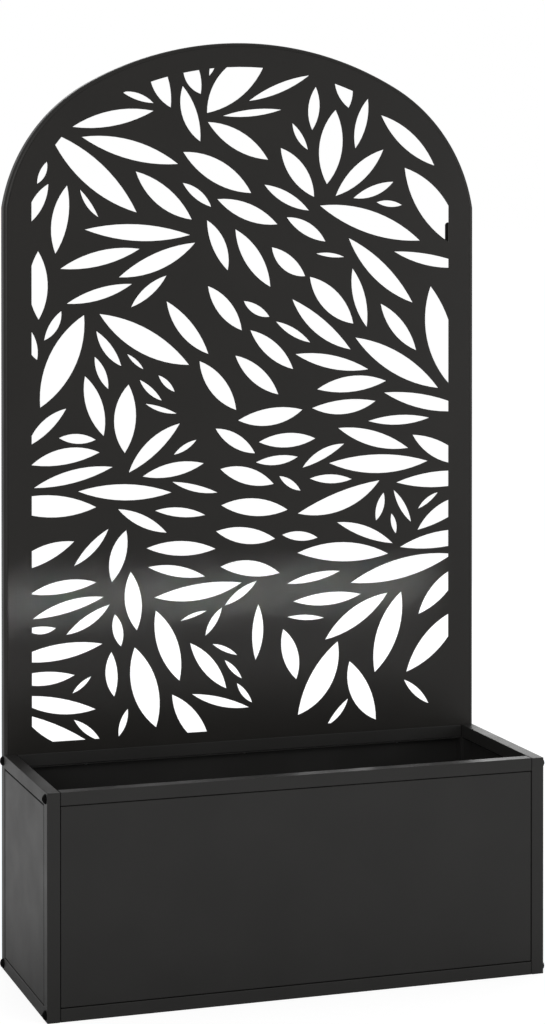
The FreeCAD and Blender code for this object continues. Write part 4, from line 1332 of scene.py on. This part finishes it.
    def rim_section(self) -> np.ndarray:
        """The rim's section as pairs of inset and depth, its outer side first and then its inner side back.

        The outer side comes up the flange from the back edge, and goes round the nose by a quarter circle to
        the face. The inner side is the same line moved inwards by the wall.

        Returns:
            Rows of inset and depth; row k of the outer half lies across the wall from row k of the inner
            half counted from the end.
        """
        soft, wall, back = self.edge, self.wall, self.deep
        flange = (back + self.nose) / 2
        outer_flange = [[soft, back], [0.0, back - soft], [0.0, flange]]
        inner_flange = [[wall, flange], [wall, back - soft], [wall - soft, back]]
        outer, inner = self.nose_arc(self.nose), self.nose_arc(self.nose - wall)
        return np.concatenate([outer_flange, outer, inner[::-1], inner_flange])

    def carried(self, section: np.ndarray, path: np.ndarray, inward: np.ndarray) -> np.ndarray:
        """A section carried along a path.

        A corner is the path's point plus inset times the way inwards, and its depth behind the face.

        Args:
            section: Rows of inset and depth.
            path: Points of the path, as x and z.
            inward: The way inwards at each.

        Returns:
            Corners as an array of point of the path, point of the section, coordinate.
        """
        flat = path[:, None, :] + section[None, :, :1] * inward[:, None, :]
        depth = np.broadcast_to(self.face_y + section[None, :, 1], flat.shape[:2])
        return np.stack([flat[..., 0], depth, flat[..., 1]], axis=2)

    def swept(self, path: np.ndarray, inward: np.ndarray) -> Surface:
        """The rim along a path, with both ends closed by faces across the wall.

        Args:
            path: Points of the path, as x and z.
            inward: The way inwards at each.

        Returns:
            The corners and the faces.
        """
        points = self.carried(self.rim_section(), path, inward)
        rows, columns, _ = points.shape
        k = np.arange(columns // 2 - 1)
        cap = np.stack([k, columns - 1 - k, columns - 2 - k, k + 1], axis=1)
        last = (rows - 1) * columns
        return points.reshape(-1, 3), np.concatenate([tube_faces(rows, columns), cap, cap[:, ::-1] + last])

    def sealed_seam(self) -> Surface:
        """A low strip of sealer behind the gap between the sheet and the rim, up one side and down the other.

        Its section is a low rectangle with its back corners drawn in.

        Returns:
            The corners and the faces.
        """
        right, right_inward = self.upright_path(1, self.seam_steps)
        arch, arch_inward = self.arch_path(*self.arch_steps)
        left, left_inward = self.upright_path(-1, self.seam_steps)
        path = np.concatenate([right[:-1], arch, left[::-1][1:]])
        inward = np.concatenate([right_inward[:-1], arch_inward, left_inward[::-1][1:]])
        near, far = self.wall - self.seam_near, self.wall + self.seam_far
        low, high = self.seam - self.seam_half, self.seam + self.seam_half
        section = [[low, near], [low + self.seam_soft, far], [high - self.seam_soft, far], [high, near]]
        return ring_solid(self.carried(np.array(section), path, inward))

    def set_down(
        self,
        name: str,
        node: str,
        kind: Washer | HexagonBolt | HexagonNut,
        height: float,
        material: bpy.types.Material,
    ) -> None:
        """Makes one fastener at each foot bolt's place, in one piece that stands for a node.

        Args:
            name: Name of the piece.
            node: The node that it stands for.
            kind: The fastener.
            height: Height at which it sits.
            material: The finish.
        """
        points, faces = kind.surface()
        parts = [(points + np.array([x, self.foot_bolt_y, height]), faces) for x in self.foot_bolt_places]
        make_piece(name, gathered(parts), Slot.STEEL, material, node)

    def stitch_welds(self) -> Surface:
        """Short welds behind the sheet: along its rim, along the foot angle and along the wall tabs.

        Returns:
            The corners and the faces of all of them.
        """
        rows, back = self.stitches, self.face_y + self.wall
        ends = []
        for side in (-1, 1):
            x = side * (self.half_width - self.seam)
            for z in np.arange(self.foot + rows.from_foot, self.spring_z - rows.to_spring, rows.step):
                ends.append(((x, back, z), (x, back, z + rows.long)))
            x = side * (self.half_width - self.wall)
            top = self.tab_low + self.tab_high - rows.tab_inset - rows.tab_long
            for z in (self.tab_low + rows.tab_inset, top):
                ends.append(((x, self.tab_front, z), (x, self.tab_front, z + rows.tab_long)))
        path, inward = self.arch_path(*rows.path_steps)
        line = path + self.seam * inward
        along = np.concatenate([[0], np.cumsum(np.linalg.norm(np.diff(line, axis=0), axis=1))])
        for start in np.arange(rows.in_arch, along[-1] - rows.in_arch, rows.step):
            x, z = (np.interp([start, start + rows.long], along, line[:, k]) for k in range(2))
            ends.append(((x[0], back, z[0]), (x[1], back, z[1])))
        z = self.foot + self.foot_up
        for x in np.arange(-rows.foot_half, rows.foot_half, rows.foot_step):
            ends.append(((x, back, z), (x + rows.foot_long, back, z)))
        return gathered([rows.bead.surface(*pair) for pair in ends])


# Stage, light and camera


@dataclass(frozen=True)
class SoftLamp:
    """A soft lamp with a rectangular face that looks at a point.

    Attributes:
        name: Name of the lamp.
        place: Where it stands.
        aim: The point that it looks at.
        wide: Width of its face.
        high: Height of its face.
        power: Power in watts.
        beam: Width of its beam in degrees.
    """

    name: str
    place: Point
    aim: Point
    wide: float
    high: float
    power: float
    beam: float = 180.0

    def build(self) -> None:
        """Makes the lamp and turns it to its point."""
        data = bpy.data.lights.new(self.name, "AREA")
        data.shape = "RECTANGLE"
        data.size, data.size_y, data.energy = self.wide, self.high, self.power
        data.spread = math.radians(self.beam)
        lamp = put_in_scene(self.name, data)
        lamp.location = self.place
        towards = np.asarray(self.aim, float) - np.asarray(self.place, float)
        pitch = math.atan2(math.hypot(towards[0], towards[1]), -towards[2])
        lamp.rotation_euler = (pitch, 0, math.atan2(-towards[0], towards[1]))
        lamp.visible_camera = False


LAMPS = (
    SoftLamp("key", place=(-2.6, -3.4, 2.0), aim=(0, 0, 0.5), wide=1.8, high=1.8, power=46),
    SoftLamp("fill", place=(3.2, -2.6, 1.1), aim=(0, 0, 0.4), wide=1.8, high=1.8, power=26),
    SoftLamp("back", place=(0.6, 3.4, 2.8), aim=(0, 0, 0.9), wide=2.0, high=1.4, power=16),
    SoftLamp("far", place=(2.1, 3.6, 1.15), aim=(0.39, 0, 0.34), wide=1.4, high=1.2, power=10.5),
    SoftLamp(
        "strip",
        place=(0.357, -1.2, 0.580),
        aim=(-0.063, 0.13, 0.580),
        wide=0.73,
        high=0.05,
        power=0.079,
        beam=4.5,
    ),
    SoftLamp(
        "strip_low",
        place=(0.357, -1.2, 0.488),
        aim=(-0.063, 0.13, 0.488),
        wide=0.73,
        high=0.12,
        power=0.015,
        beam=4.5,
    ),
)


@dataclass
class Studio:
    """A plain white floor and backdrop with soft lamps.

    Attributes:
        floor_half: Half of the floor's side.
        floor_white: How white the floor is for the light that it gives back.
        floor_seen: The plain part of the floor that a camera sees.
        floor_shade: How white the rest is, which keeps the part's shadow.
        floor_in_gloss: The plain part of the floor in gloss.
        shade_in_gloss: How white the rest is there.
        near_in_gloss: The share of the plain part in gloss that is left beside the part, as painted shade
            round it.
        near_far: Distances from the middle between which it grows to the whole.
        sky: Light of the surroundings on matt surfaces.
        sky_seen: The surroundings as a camera sees them.
        sky_in_gloss: Light of the surroundings in gloss.
    """

    floor_half: float = 300.0
    floor_white: float = 0.8
    floor_seen: float = 0.8
    floor_shade: float = 0.42
    floor_in_gloss: float = 0.385
    shade_in_gloss: float = 0.52
    near_in_gloss: float = 0.12
    near_far: tuple[float, float] = (0.38, 0.92)
    sky: float = 0.5
    sky_seen: float = 1.0
    sky_in_gloss: float = 0.66

    def build(self) -> None:
        """Makes the floor, the surroundings and the lamps."""
        self.floor()
        self.surroundings()
        for lamp in LAMPS:
            lamp.build()

    def floor(self) -> None:
        """A square floor on the ground that is nearly white and keeps the part's soft shadow."""
        half = self.floor_half
        corners = [(-half, -half, 0), (half, -half, 0), (half, half, 0), (-half, half, 0)]
        mesh = bpy.data.meshes.new("floor")
        mesh.from_pydata(corners, [], [(0, 1, 2, 3)])
        mesh.materials.append(self.floor_finish())
        floor = put_in_scene("floor", mesh)

    def floor_finish(self) -> bpy.types.Material:
        """Matt white that catches the shadow, plus plain white, which gets less beside the part in gloss as
        painted shade.

        Returns:
            The material.
        """
        graph = Graph(bpy.data.materials.new("floor_white"))
        matt = graph.add("BsdfDiffuse")
        shade = graph.by_ray(self.floor_white, self.floor_shade, self.shade_in_gloss)
        graph.join(shade, matt.inputs["Color"])
        # Painted shade: the floor's plain white in gloss dims towards the part.
        away = graph.add("VectorMath", operation="LENGTH")
        graph.join(graph.place(), away.inputs["Vector"])
        near, far = self.near_far
        grow = graph.add(
            "MapRange",
            interpolation_type="SMOOTHSTEP",
            From_Min=near,
            From_Max=far,
            To_Min=self.near_in_gloss - 1,
            To_Max=0.0,
        )
        graph.join(away.outputs["Value"], grow.inputs["Value"])
        in_gloss = graph.by_ray(0.0, 0.0, self.floor_in_gloss)
        painted_gloss_shade = graph.work_out("MULTIPLY", grow.outputs["Result"], in_gloss)
        plain = graph.work_out("ADD", graph.by_ray(0.0, self.floor_seen, self.floor_in_gloss), painted_gloss_shade)
        white = graph.add("Emission", Color=(1, 1, 1, 1))
        graph.join(plain, white.inputs["Strength"])
        both = graph.add("AddShader")
        graph.join(matt.outputs[0], both.inputs[0])
        graph.join(white.outputs[0], both.inputs[1])
        return graph.close(both)

    def surroundings(self) -> None:
        """White for the camera, dimmer in gloss, and dimmer still on matt surfaces."""
        graph = Graph(bpy.data.worlds.new("surroundings"))
        light = graph.add("Background", Color=(1, 1, 1, 1))
        graph.join(graph.by_ray(self.sky, self.sky_seen, self.sky_in_gloss), light.inputs["Strength"])
        bpy.context.scene.world = graph.close(light)


@dataclass
class PictureCamera:
    """The camera at the picture's viewing angle.

    Attributes:
        place: Where it stands.
        tilt: Degrees that it looks down.
        swing: Degrees that it looks to the right of straight ahead.
        lens: Focal length in millimetres.
        film: Width of the film in millimetres.
        shift: Sideways and upright shift, shares of the long side.
        reach: Nearest and farthest distance that it sees.
    """

    place: Point = (-1.30443, -3.83329, 1.19227)
    tilt: float = 0.6
    swing: float = 18.559
    lens: float = 90.533
    film: float = 36.0
    shift: tuple[float, float] = (0.01111, -0.26425)
    reach: tuple[float, float] = (0.05, 200.0)

    def build(self) -> None:
        """Makes the camera and hands it to the scene."""
        data = bpy.data.cameras.new("picture")
        data.sensor_fit = "AUTO"
        data.sensor_width = self.film
        data.lens = self.lens
        data.shift_x, data.shift_y = self.shift
        data.clip_start, data.clip_end = self.reach
        camera = put_in_scene("picture", data)
        camera.location = self.place
        camera.rotation_euler = (math.radians(90 - self.tilt), 0, math.radians(-self.swing))
        bpy.context.scene.camera = camera


def main() -> None:
    """Builds the pieces in order and sets the stage."""
    bpy.context.scene.view_settings.view_transform = "Standard"
    box = BoxPlanter()
    finishes = Finishes(box.rail_end_shades(), box.panel_edge_shades())
    box.build(finishes)
    ArchedScreen().build(finishes)
    Studio().build()
    PictureCamera().build()


if __name__ == "__main__":
    main()
